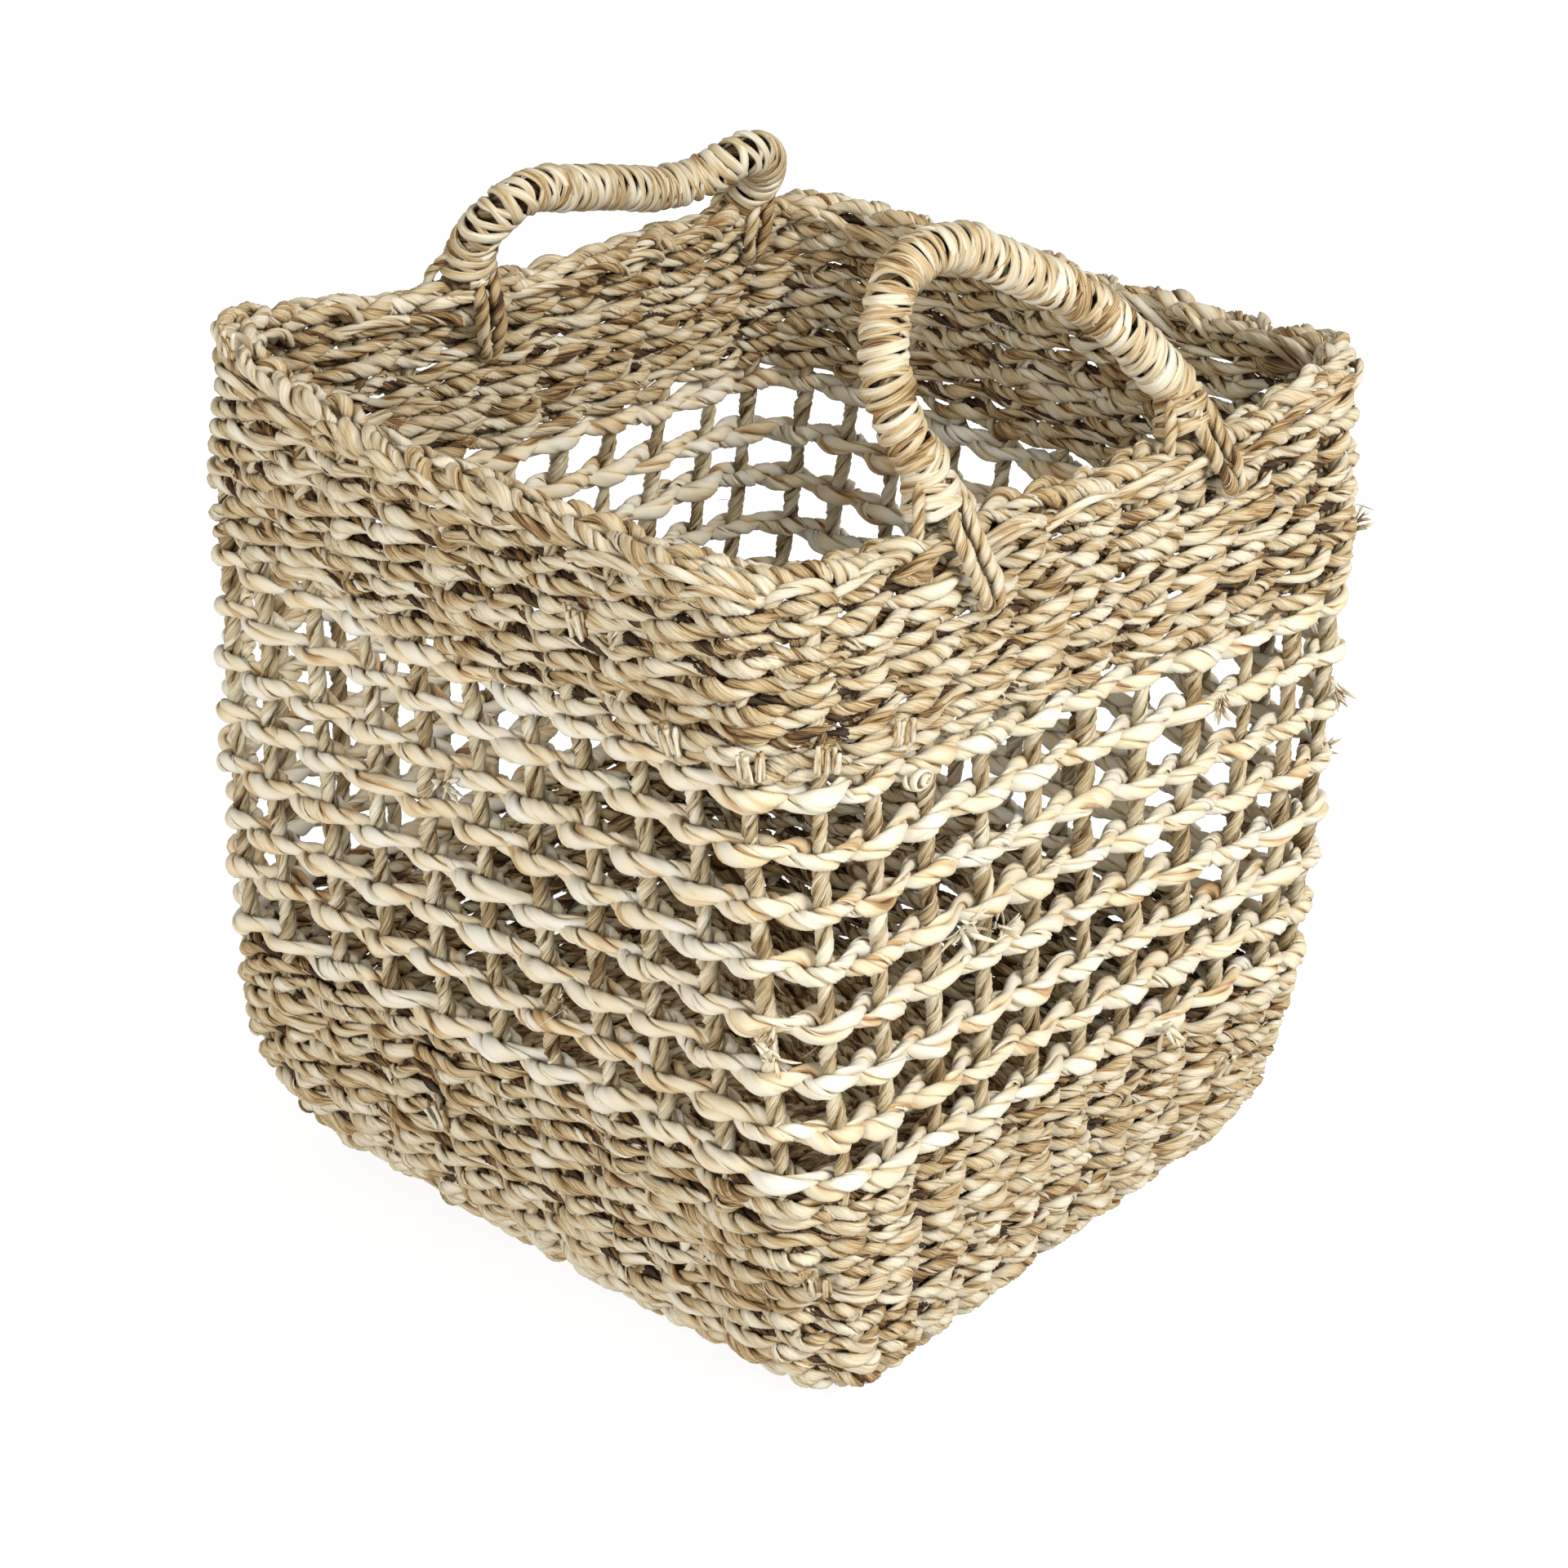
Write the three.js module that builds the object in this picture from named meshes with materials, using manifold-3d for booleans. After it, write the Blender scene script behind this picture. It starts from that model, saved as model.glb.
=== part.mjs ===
// A square, open-topped storage basket twined from seagrass, with two rope handles.
// Millimetres, +Z up. The origin is the middle of the underside. The wall that carries the
// front handle faces -Y and the wall that carries the back handle faces +Y.

import * as THREE from 'three';
import { mergeVertices } from 'three/addons/utils/BufferGeometryUtils.js';
import Module from 'manifold-3d';

const wasm = await Module();
wasm.setup();

// Levels of the bands, measured up from the floor.
const RIM_LEVEL = 320;
const CREAM_TOP = 247;
const CREAM_BOTTOM = 93;
const CREAM_ROWS = 8;
const CREAM_STRAND_HEIGHT = 10.5;

// Half widths of the outer wall face at four levels: the basket swells a little in the middle.
const LEVELS = [
  { level: 0, halfX: 137, halfY: 145 },
  { level: CREAM_BOTTOM, halfX: 149, halfY: 160 },
  { level: CREAM_TOP, halfX: 157, halfY: 160 },
  { level: RIM_LEVEL, halfX: 155, halfY: 151 },
];
const CORNER = 0.27; // corner radius as a share of the half width
const BASE_TWIST = 0.14; // how far the base is turned under the rim, radians
const TWIST_POWER = 2.7; // the twist dies away towards the rim
const LOW_BOW = -5; // the walls pull in slightly between the corners
const RIM_BOW = { right: 11, left: 11, back: -9, front: -3 }; // and bow out or in at the rim
const BOW_START = 200; // level above which the rim's own bow takes over
const CORNER_RISE = 15; // two opposite corners of the rim stand higher

// Layers through the wall, as depths from its outer face.
const STRAND = 4; // one layer of weft
const CLEARANCE = 0.9; // between a layer of weft and the stakes
const STAKE_RADIUS = 2.5;
const STAKE_DEPTH = STRAND + CLEARANCE + STAKE_RADIUS;
const WALL = 2 * (STRAND + CLEARANCE + STAKE_RADIUS);
const UPPER_STAKE_DEPTH = STAKE_DEPTH + 2 * STAKE_RADIUS + CLEARANCE;
const GAP = 0.4; // between pieces that touch end to end
const STAKES_PER_WALL = 11;
const STAKE_COUNT = 4 * STAKES_PER_WALL;
const STAKE_SIDES = 5;
const EDGE_RADIUS = 22; // of the rounding where the walls meet the base
const EDGE_EXTRA = { left: 48, right: 20 }; // added to it at the two corners that stand higher
const RIM_HEIGHT = 9;
const RIM_OVERHANG = 1; // of the braid past the faces of the wall
const UPPER_MIDDLE = 285; // about halfway up the top band

// Handles. Feet and lashing holes are given in stake spacings from the middle of the wall,
// along +X. An arch is given as [along, up] from the middle of the swing axis.
const AXIS_ABOVE_RIM = 6;
const CORD_RADIUS = 2.8;
const CORE_RADIUS = 5.2;
const GRIP_RADIUS = 8.8;
const FOOT_START = 11; // the rope begins this far from the swing axis
const LASHING_DROP = 30; // the lashings pass through the wall this far below the rim
const LASHING_PLAY = 2.5; // between a lashing and the sides of its hole
const RIM_CLEARANCE = 1.2; // between a lashing and the rim braid
const FRONT_HANDLE = {
  name: 'front', side: 0, feet: [-2.7, 2.2], holes: [-2.3, 2.45], lean: 22,
  arch: [
    [-67, FOOT_START], [-75, 32], [-73, 54], [-60, 73], [-36, 78], [-4, 63], [25, 45], [42, 27],
    [55, FOOT_START],
  ],
};
const BACK_HANDLE = {
  name: 'back', side: 2, feet: [-1, 4.3], holes: [-0.7, 4.3], lean: 37,
  arch: [
    [-77, FOOT_START], [-78, 21], [-68, 38], [-43, 34], [-15, 26], [14, 17], [30, 18], [50, 27],
    [63, 22], [70, FOOT_START],
  ],
};

const UP = new THREE.Vector3(0, 0, 1);
const STRAW = { color: 0xb9ab87, roughness: 0.85, metalness: 0 };
const STAKE_STRAW = { color: 0x9c8a66, roughness: 0.9, metalness: 0 };
const CREAM_STRAW = { color: 0xeee0bb, roughness: 0.75, metalness: 0 };

const basket = new THREE.Group();

function addPiece(parent, name, geometry, look) {
  const piece = new THREE.Mesh(geometry, new THREE.MeshStandardMaterial(look));
  piece.name = name;
  parent.add(piece);
}

// A smooth curve through the half widths: a cubic whose slope at each level is the mean slope
// of its neighbours.
function halfWidth(level, key) {
  const last = LEVELS.length - 1;
  const inside = THREE.MathUtils.clamp(level, 0, RIM_LEVEL);
  let i = 0;
  while (i < last - 1 && inside > LEVELS[i + 1].level) i += 1;
  const slope = (j) => {
    const a = LEVELS[Math.max(j - 1, 0)];
    const b = LEVELS[Math.min(j + 1, last)];
    return (b[key] - a[key]) / (b.level - a.level);
  };
  const span = LEVELS[i + 1].level - LEVELS[i].level;
  const t = (inside - LEVELS[i].level) / span;
  const rise = t * t * (3 - 2 * t);
  return LEVELS[i][key] * (1 - rise) + LEVELS[i + 1][key] * rise
    + span * (slope(i) * t * (1 - t) ** 2 - slope(i + 1) * t * t * (1 - t));
}

// The plan outline as a rounded square of half width 1. A turn of 0 is the middle of the front
// wall, and turns count anticlockwise seen from above, 1 being once round.
function unitOutline(turn) {
  const side = Math.round(turn * 4);
  const straight = 1 - CORNER;
  const along = (turn * 4 - side) * 2 * (straight + CORNER * Math.PI / 4);
  const bend = Math.max(Math.abs(along) - straight, 0) / CORNER;
  const hand = Math.sign(along);
  const normal = new THREE.Vector2(hand * Math.sin(bend), -Math.cos(bend));
  const point = new THREE.Vector2(
    bend > 0 ? hand * straight + CORNER * normal.x : along,
    -straight + CORNER * normal.y,
  );
  const centre = new THREE.Vector2();
  point.rotateAround(centre, side * Math.PI / 2);
  normal.rotateAround(centre, side * Math.PI / 2);
  return { point, normal };
}

// How far a wall bows out, by the way that it faces and the level.
function bowAt(normal, level) {
  const rimX = normal.x > 0 ? RIM_BOW.right : RIM_BOW.left;
  const rimY = normal.y > 0 ? RIM_BOW.back : RIM_BOW.front;
  const rim = rimX * normal.x ** 2 + rimY * normal.y ** 2;
  const share = THREE.MathUtils.smoothstep(level, BOW_START, RIM_LEVEL);
  return THREE.MathUtils.lerp(LOW_BOW, rim, share);
}

// A point of the wall: depth is measured inwards from the outer face. Depths beyond the wall's
// own thickness, as under the base, draw in towards the middle of the basket.
function wallPoint(turn, level, depth) {
  const { point, normal } = unitOutline(turn);
  const near = Math.min(depth, WALL);
  const bow = bowAt(normal, level) * (1 - (point.x * point.y) ** 2);
  const stretch = Math.max(level - CREAM_TOP, 0) / (RIM_LEVEL - CREAM_TOP);
  const rise = CORNER_RISE * Math.max(-point.x * point.y, 0) ** 2 * stretch;
  const place = new THREE.Vector3(
    point.x * halfWidth(level, 'halfX') + normal.x * (bow - near),
    point.y * halfWidth(level, 'halfY') + normal.y * (bow - near),
    level + rise,
  );
  const share = 1 - (depth - near) / LEVELS[0].halfY;
  place.x *= share;
  place.y *= share;
  const twist = BASE_TWIST * Math.max(1 - level / RIM_LEVEL, 0) ** TWIST_POWER;
  return place.applyAxisAngle(UP, twist);
}

// Radius of the rounding between wall and base, largest at the two higher corners.
function edgeRadius(turn) {
  const { point } = unitOutline(turn);
  const extra = point.x < point.y ? EDGE_EXTRA.left : EDGE_EXTRA.right;
  return EDGE_RADIUS + extra * ((1 - point.x * point.y) / 2) ** 2;
}

// The rounded bottom edge, as [depth, level] for a layer at the given depth: 0 is level with the
// wall, a quarter turn is flat under the base.
function edgePoint(turn, layer, angle) {
  const middle = edgeRadius(turn);
  const radius = middle - layer;
  return [middle - radius * Math.cos(angle), middle - radius * Math.sin(angle)];
}

// Halfway from the rounding to the lowest cream row.
function lowerMiddle(turn) {
  return (edgeRadius(turn) + CREAM_BOTTOM) / 2;
}

// Turns at which a ring has corners: at these stakes of every wall.
const RING_STAKES = [-5, -4, -2, 0, 2, 4, 5];
const RING_TURNS = [0, 1, 2, 3].flatMap(
  (side) => RING_STAKES.map((stake) => (side * STAKES_PER_WALL + stake) / STAKE_COUNT),
);

// A ring that follows the wall all the way round. sectionAt gives the section at a turn as a
// closed loop of [depth, level] points, counted so that the faces point out.
function wallRing(sectionAt) {
  const section = sectionAt(0);
  const loop = [...section, section[0]].map(([depth, level]) => new THREE.Vector2(WALL - depth, level));
  const segments = RING_TURNS.length;
  const geometry = new THREE.LatheGeometry(loop, segments);
  geometry.deleteAttribute('normal');
  geometry.deleteAttribute('uv');
  const place = geometry.attributes.position;
  for (let i = 0; i < place.count; i += 1) {
    const turn = RING_TURNS[Math.floor(i / loop.length) % segments];
    const [depth, level] = sectionAt(turn)[i % loop.length % section.length];
    const point = wallPoint(turn, level, depth);
    place.setXYZ(i, point.x, point.y, point.z);
  }
  return mergeVertices(geometry, 1e-4);
}

// A flat woven plate inside the rounding of the base.
function basePlate(inset, bottom, top) {
  const outline = RING_TURNS.map((turn) => wallPoint(turn, 0, edgeRadius(turn) + inset))
    .map((point) => new THREE.Vector2(point.x, point.y));
  const plate = new THREE.ExtrudeGeometry(new THREE.Shape(outline), {
    depth: top - bottom, bevelEnabled: false,
  });
  return plate.translate(0, 0, bottom);
}

// A path that passes straight from each of its points to the next, so that a cord is swept with
// one section at every point.
class CordPath extends THREE.Curve {
  constructor(points) {
    super();
    this.points = points;
  }

  getPoint(t) {
    const reach = THREE.MathUtils.clamp(t, 0, 1) * (this.points.length - 1);
    const i = Math.min(Math.floor(reach), this.points.length - 2);
    return this.points[i].clone().lerp(this.points[i + 1], reach - i);
  }

  getPointAt(u) {
    return this.getPoint(u);
  }

  getTangentAt(u) {
    return this.getTangent(u);
  }
}

// A section with the given number of sides swept along the points, hollow if a bore is given.
function cord(points, radius, sides, bore = 0) {
  const ring = (size) => Array.from({ length: sides }, (_, i) => {
    const angle = (i + 0.5) * 2 * Math.PI / sides;
    return new THREE.Vector2(size * Math.cos(angle), size * Math.sin(angle));
  });
  const section = new THREE.Shape(ring(radius));
  if (bore > 0) section.holes.push(new THREE.Path(ring(bore)));
  return new THREE.ExtrudeGeometry(section, {
    steps: points.length - 1, bevelEnabled: false, extrudePath: new CordPath(points),
  });
}

// One half of a stake: out across the base, round the bottom edge and up the wall.
const STAKE_TOP = RIM_LEVEL - RIM_HEIGHT - GAP;
const STAKE_LEVELS = [
  CREAM_BOTTOM, (CREAM_BOTTOM + BOW_START) / 2, BOW_START, (BOW_START + CREAM_TOP) / 2, CREAM_TOP,
  UPPER_MIDDLE, STAKE_TOP,
];
const EDGE_ANGLES = [Math.PI / 2, Math.PI / 3, Math.PI / 6, 0];
function stakeHalf(turn, baseDepth) {
  const edge = EDGE_ANGLES.map((angle) => {
    const share = angle / (Math.PI / 2);
    const layer = THREE.MathUtils.lerp(STAKE_DEPTH, baseDepth, share);
    const [depth, level] = edgePoint(turn, layer, angle);
    return wallPoint(turn, level, depth);
  });
  const levels = [lowerMiddle(turn), ...STAKE_LEVELS];
  const wall = levels.map((level) => wallPoint(turn, level, STAKE_DEPTH));
  return [...edge, ...wall];
}

function stake(turnA, turnB, baseDepth) {
  const points = [...stakeHalf(turnA, baseDepth).reverse(), ...stakeHalf(turnB, baseDepth)];
  return cord(points, STAKE_RADIUS, STAKE_SIDES);
}

function addStakes() {
  for (let i = 0; i < STAKES_PER_WALL; i += 1) {
    const step = i - (STAKES_PER_WALL - 1) / 2;
    const number = String(i + 1).padStart(2, '0');
    const left = (3 * STAKES_PER_WALL - step) / STAKE_COUNT;
    const right = (STAKES_PER_WALL + step) / STAKE_COUNT;
    addPiece(basket, `cross_stake_${number}`, stake(left, right, STAKE_DEPTH), STAKE_STRAW);
    const front = step / STAKE_COUNT;
    const back = (2 * STAKES_PER_WALL - step) / STAKE_COUNT;
    addPiece(basket, `long_stake_${number}`, stake(front, back, UPPER_STAKE_DEPTH), STAKE_STRAW);
  }
}

// A plain band of weft between two depths, with a section corner at each of the levels.
function bandSection(outer, inner, levels) {
  const down = [...levels].reverse();
  return [...levels.map((level) => [outer, level]), ...down.map((level) => [inner, level])];
}

function addCreamRows() {
  const lowest = CREAM_BOTTOM + CREAM_STRAND_HEIGHT / 2;
  const pitch = (CREAM_TOP - CREAM_BOTTOM - CREAM_STRAND_HEIGHT) / (CREAM_ROWS - 1);
  for (let row = 0; row < CREAM_ROWS; row += 1) {
    const middle = lowest + row * pitch;
    const levels = [middle - CREAM_STRAND_HEIGHT / 2, middle + CREAM_STRAND_HEIGHT / 2];
    const outer = wallRing(() => bandSection(0, STRAND, levels));
    const inner = wallRing(() => bandSection(WALL - STRAND, WALL, levels));
    addPiece(basket, `cream_outer_strand_${row + 1}`, outer, CREAM_STRAW);
    addPiece(basket, `cream_inner_strand_${row + 1}`, inner, CREAM_STRAW);
  }
}

function addBottomBand() {
  const top = CREAM_BOTTOM - GAP;
  const outer = (turn) => {
    const face = (depth) => [
      ...EDGE_ANGLES.map((angle) => edgePoint(turn, depth, angle)), [depth, lowerMiddle(turn)], [depth, top],
    ];
    return [...face(0), ...face(STRAND).reverse()];
  };
  const inner = (turn) => bandSection(
    WALL - STRAND, WALL, [edgeRadius(turn) + STRAND, lowerMiddle(turn), top],
  );
  addPiece(basket, 'bottom_band_outer_weft', wallRing(outer), STRAW);
  addPiece(basket, 'bottom_band_inner_weft', wallRing(inner), STRAW);
}

function addBase() {
  const under = basePlate(GAP, 0, STRAND);
  const upperBottom = UPPER_STAKE_DEPTH + STAKE_RADIUS + CLEARANCE;
  const upper = basePlate(STRAND, upperBottom, upperBottom + STRAND);
  addPiece(basket, 'base_under_weft', under, STRAW);
  addPiece(basket, 'base_upper_weft', upper, STRAW);
}

// The braided top edge: an octagonal bead that covers the whole wall thickness.
function addRim() {
  const chamfer = 3;
  const bottom = RIM_LEVEL - RIM_HEIGHT;
  const section = () => [
    [chamfer, bottom], [-RIM_OVERHANG, bottom + chamfer], [-RIM_OVERHANG, RIM_LEVEL - chamfer],
    [chamfer, RIM_LEVEL], [WALL - chamfer, RIM_LEVEL], [WALL + RIM_OVERHANG, RIM_LEVEL - chamfer],
    [WALL + RIM_OVERHANG, bottom + chamfer], [WALL - chamfer, bottom],
  ];
  addPiece(basket, 'rim_braid', wallRing(section), STRAW);
}

function solid(geometry) {
  const bare = geometry.clone();
  bare.deleteAttribute('normal');
  bare.deleteAttribute('uv');
  const merged = mergeVertices(bare, 1e-4);
  return new wasm.Manifold(new wasm.Mesh({
    numProp: 3,
    vertProperties: new Float32Array(merged.attributes.position.array),
    triVerts: new Uint32Array(merged.index.array),
  }));
}

function geometryOf(manifold) {
  const mesh = manifold.getMesh();
  const geometry = new THREE.BufferGeometry();
  geometry.setAttribute('position', new THREE.BufferAttribute(mesh.vertProperties, 3));
  geometry.setIndex(new THREE.BufferAttribute(mesh.triVerts, 1));
  return geometry;
}

// A place on a handle's wall as a turn: stakes count along +X on both handle walls.
function wallTurn(handle, stakes) {
  return (handle.side === 0 ? stakes : 2 * STAKES_PER_WALL - stakes) / STAKE_COUNT;
}

const HOLE_LEVEL = RIM_LEVEL - LASHING_DROP;

// The top band has one small hole at each handle foot, for the lashing.
function addTopBand() {
  const size = 2 * (CORD_RADIUS + LASHING_PLAY);
  const levels = [CREAM_TOP + GAP, UPPER_MIDDLE, STAKE_TOP];
  const holes = [FRONT_HANDLE, BACK_HANDLE].flatMap(
    (handle) => handle.holes.map((hole) => wallPoint(wallTurn(handle, hole), HOLE_LEVEL, WALL / 2)),
  );
  const layers = { outer: [0, STRAND], inner: [WALL - STRAND, WALL] };
  Object.entries(layers).forEach(([layer, [near, far]]) => {
    let band = solid(wallRing(() => bandSection(near, far, levels)));
    holes.forEach((place) => {
      const cutter = new THREE.BoxGeometry(size, 3 * WALL, size);
      band = band.subtract(solid(cutter.translate(place.x, place.y, place.z)));
    });
    addPiece(basket, `top_band_${layer}_weft`, geometryOf(band), STRAW);
  });
}

// One leg of a lashing, from the rim down to the hole: at each level, how much nearer to the wall
// it runs than the line that clears the rim braid.
const LASHING_LEG = [[RIM_LEVEL + 3, 1.6], [RIM_LEVEL - 5, 0], [HOLE_LEVEL + 9, 0], [HOLE_LEVEL + 1, 1]];

// A lashing: a cord that hangs astride the rim and passes through the wall below it. It runs
// from one side of the swing axis to the other, by way of the hole.
function lashing(turn, apex, outward) {
  const clear = RIM_OVERHANG + CORD_RADIUS + RIM_CLEARANCE;
  const leg = (hand) => {
    const face = hand > 0 ? 0 : WALL;
    const start = apex.clone();
    start.y += hand * outward * (CORD_RADIUS + GAP);
    const rest = LASHING_LEG.map(([level, nearer]) => {
      const stop = wallPoint(turn, level, face - hand * (clear - nearer));
      stop.x += (apex.x - stop.x) * Math.max(level - HOLE_LEVEL, 0) / (RIM_LEVEL - HOLE_LEVEL);
      return stop;
    });
    return [start, ...rest];
  };
  const through = wallPoint(turn, HOLE_LEVEL, WALL / 2);
  return cord([...leg(-1), through, ...leg(1).reverse()], CORD_RADIUS, 6);
}

function addHandle(handle) {
  const outward = handle.side === 0 ? -1 : 1;
  const feet = handle.feet.map((foot) => wallPoint(wallTurn(handle, foot), RIM_LEVEL, WALL / 2));
  const axis = feet[0].clone().add(feet[1]).multiplyScalar(0.5);
  axis.z = RIM_LEVEL + AXIS_ABOVE_RIM;
  ['left', 'right'].forEach((hand, i) => {
    const apex = new THREE.Vector3(feet[i].x, axis.y, axis.z);
    const loop = lashing(wallTurn(handle, handle.holes[i]), apex, outward);
    addPiece(basket, `${handle.name}_handle_${hand}_lashing`, loop, STAKE_STRAW);
  });

  const corners = handle.arch.map(([along, up]) => new THREE.Vector3(along, 0, up));
  const bends = 22;
  const points = new THREE.CatmullRomCurve3(corners).getSpacedPoints(bends);
  const swing = new THREE.Group();
  swing.position.copy(axis);
  swing.rotation.x = outward * THREE.MathUtils.degToRad(handle.lean);
  const wrapped = points.slice(1, -1);
  addPiece(swing, `${handle.name}_handle_core_rope`, cord(points, CORE_RADIUS, 6), STAKE_STRAW);
  const wrap = cord(wrapped, GRIP_RADIUS, 8, CORE_RADIUS + 2 * GAP);
  addPiece(swing, `${handle.name}_handle_grip_wrap`, wrap, STRAW);
  basket.add(swing);
}

addStakes();
addBase();
addBottomBand();
addCreamRows();
addTopBand();
addRim();
addHandle(FRONT_HANDLE);
addHandle(BACK_HANDLE);

export default basket;
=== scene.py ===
"""The looks of a seagrass storage basket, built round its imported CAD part.

Every woven piece is made from strands: a strand is a few plies of rolled leaf twisted together
and swept along a path that is given on the wall as turn, level and depth.
"""

import math

import bpy
import numpy as np
from mathutils import Matrix, Vector


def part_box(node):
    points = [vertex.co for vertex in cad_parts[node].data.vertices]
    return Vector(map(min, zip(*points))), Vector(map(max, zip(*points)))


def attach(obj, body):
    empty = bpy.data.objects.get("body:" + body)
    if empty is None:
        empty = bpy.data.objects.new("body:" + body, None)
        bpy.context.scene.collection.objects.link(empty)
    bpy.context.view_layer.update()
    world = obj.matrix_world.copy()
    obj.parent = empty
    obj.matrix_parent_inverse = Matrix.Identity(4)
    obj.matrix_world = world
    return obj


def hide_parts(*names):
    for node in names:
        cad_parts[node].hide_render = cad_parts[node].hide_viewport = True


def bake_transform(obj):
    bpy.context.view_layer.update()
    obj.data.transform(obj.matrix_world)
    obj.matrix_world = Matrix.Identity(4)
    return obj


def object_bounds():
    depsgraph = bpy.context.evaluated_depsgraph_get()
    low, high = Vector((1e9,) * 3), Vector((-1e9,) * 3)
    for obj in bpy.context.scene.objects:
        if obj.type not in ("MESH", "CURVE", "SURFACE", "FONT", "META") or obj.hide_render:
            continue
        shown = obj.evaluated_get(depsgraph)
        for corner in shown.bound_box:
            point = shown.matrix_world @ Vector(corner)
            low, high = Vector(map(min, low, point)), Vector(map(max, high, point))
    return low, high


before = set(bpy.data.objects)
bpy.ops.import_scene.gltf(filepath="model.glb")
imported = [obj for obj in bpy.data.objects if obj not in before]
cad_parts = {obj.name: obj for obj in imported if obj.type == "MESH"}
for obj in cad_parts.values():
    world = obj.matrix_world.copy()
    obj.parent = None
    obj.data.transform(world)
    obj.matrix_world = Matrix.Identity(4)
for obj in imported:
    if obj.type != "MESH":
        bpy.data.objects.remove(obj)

cad_low, cad_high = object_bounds()
MM = 0.001
TAU = 2 * math.pi

# The wall, as in the CAD part.
RIM_LEVEL = 320 * MM
CREAM_TOP = 247 * MM
CREAM_BOTTOM = 93 * MM
CREAM_ROWS = 8
LEVELS = np.array([0, CREAM_BOTTOM, CREAM_TOP, RIM_LEVEL])
HALF_WIDTHS = np.array([[137, 145], [149, 160], [157, 160], [155, 151]]) * MM  # in X and Y
CORNER = 0.27  # corner radius as a share of the half width
BASE_TWIST = 0.14  # radians that the base is turned under the rim
TWIST_POWER = 2.7  # the twist dies away towards the rim
LOW_BOW = -5 * MM  # the walls pull in slightly between the corners
RIM_BOW = {"right": 11 * MM, "left": 11 * MM, "back": -9 * MM, "front": -3 * MM}
BOW_START = 200 * MM  # level above which the rim's own bow takes over
CORNER_RISE = 15 * MM  # two opposite corners of the rim stand higher
WALL = 14.8 * MM  # thickness
STAKE_DEPTH = WALL / 2
UPPER_STAKE_DEPTH = 13.3 * MM  # of the long stakes under the base, which lie over the cross ones
STAKES_PER_WALL = 11
STAKE_COUNT = 4 * STAKES_PER_WALL
EDGE_RADIUS = 22 * MM  # of the rounding where the walls meet the base
EDGE_EXTRA = {"left": 48 * MM, "right": 20 * MM}  # added to it at the two higher corners

# Handles, as in the CAD part: feet and holes in stake spacings, drops of the holes under the rim
# and arches as [along, up] in mm.
AXIS_LEVEL = RIM_LEVEL + 6 * MM
FOOT_START = 11
CORE_RADIUS = 5.2 * MM
GRIP_RADIUS = 8.8 * MM
HANDLES = {
    "front": {
        "side": 0, "feet": [-2.7, 2.2], "holes": [-2.1, 2.45], "drops": [30, 21], "lean": 22,
        "arch": [[-67, FOOT_START], [-75, 32], [-73, 54], [-60, 73], [-36, 78], [-4, 63],
                 [25, 45], [42, 27], [55, FOOT_START]],
    },
    "back": {
        "side": 2, "feet": [-1, 4.3], "holes": [-0.9, 4.3], "drops": [30, 21], "lean": 37,
        "arch": [[-77, FOOT_START], [-78, 21], [-68, 38], [-43, 34], [-15, 26], [14, 17],
                 [30, 18], [50, 27], [63, 22], [70, FOOT_START]],
    },
}

# First seed of each kind of piece.
SEEDS = {"cream": 100, "bottom": 200, "top": 300, "under": 400, "upper": 450, "cross": 600,
         "long": 650, "rim": 700, "handle": 800, "left": 900, "right": 905, "ends": 1000}


# ---------------- the wall's shape

def half_widths(level):
    """Half widths in X and Y at each level: a cubic through HALF_WIDTHS."""
    inside = np.clip(level, 0, RIM_LEVEL)
    last = len(LEVELS) - 1
    i = np.clip(np.searchsorted(LEVELS, inside) - 1, 0, last - 1)

    def slope(j):
        below = np.clip(j - 1, 0, last)
        above = np.clip(j + 1, 0, last)
        return (HALF_WIDTHS[above] - HALF_WIDTHS[below]) / (LEVELS[above] - LEVELS[below])[..., None]

    span = (LEVELS[i + 1] - LEVELS[i])[..., None]
    t = (inside - LEVELS[i])[..., None] / span
    rise = t * t * (3 - 2 * t)
    bend = slope(i) * t * (1 - t) ** 2 - slope(i + 1) * t * t * (1 - t)
    return HALF_WIDTHS[i] * (1 - rise) + HALF_WIDTHS[i + 1] * rise + span * bend


def unit_outline(turn):
    """Point and normal of the rounded square of half width 1: turn 0 faces -Y."""
    side = np.round(turn * 4)
    straight = 1 - CORNER
    along = (turn * 4 - side) * 2 * (straight + CORNER * math.pi / 4)
    bend = np.maximum(np.abs(along) - straight, 0) / CORNER
    hand = np.sign(along)
    nx, ny = hand * np.sin(bend), -np.cos(bend)
    x = np.where(bend > 0, hand * straight + CORNER * nx, along)
    y = -straight + CORNER * ny
    c, s = np.cos(side * math.pi / 2), np.sin(side * math.pi / 2)
    return c * x - s * y, s * x + c * y, c * nx - s * ny, s * nx + c * ny


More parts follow.
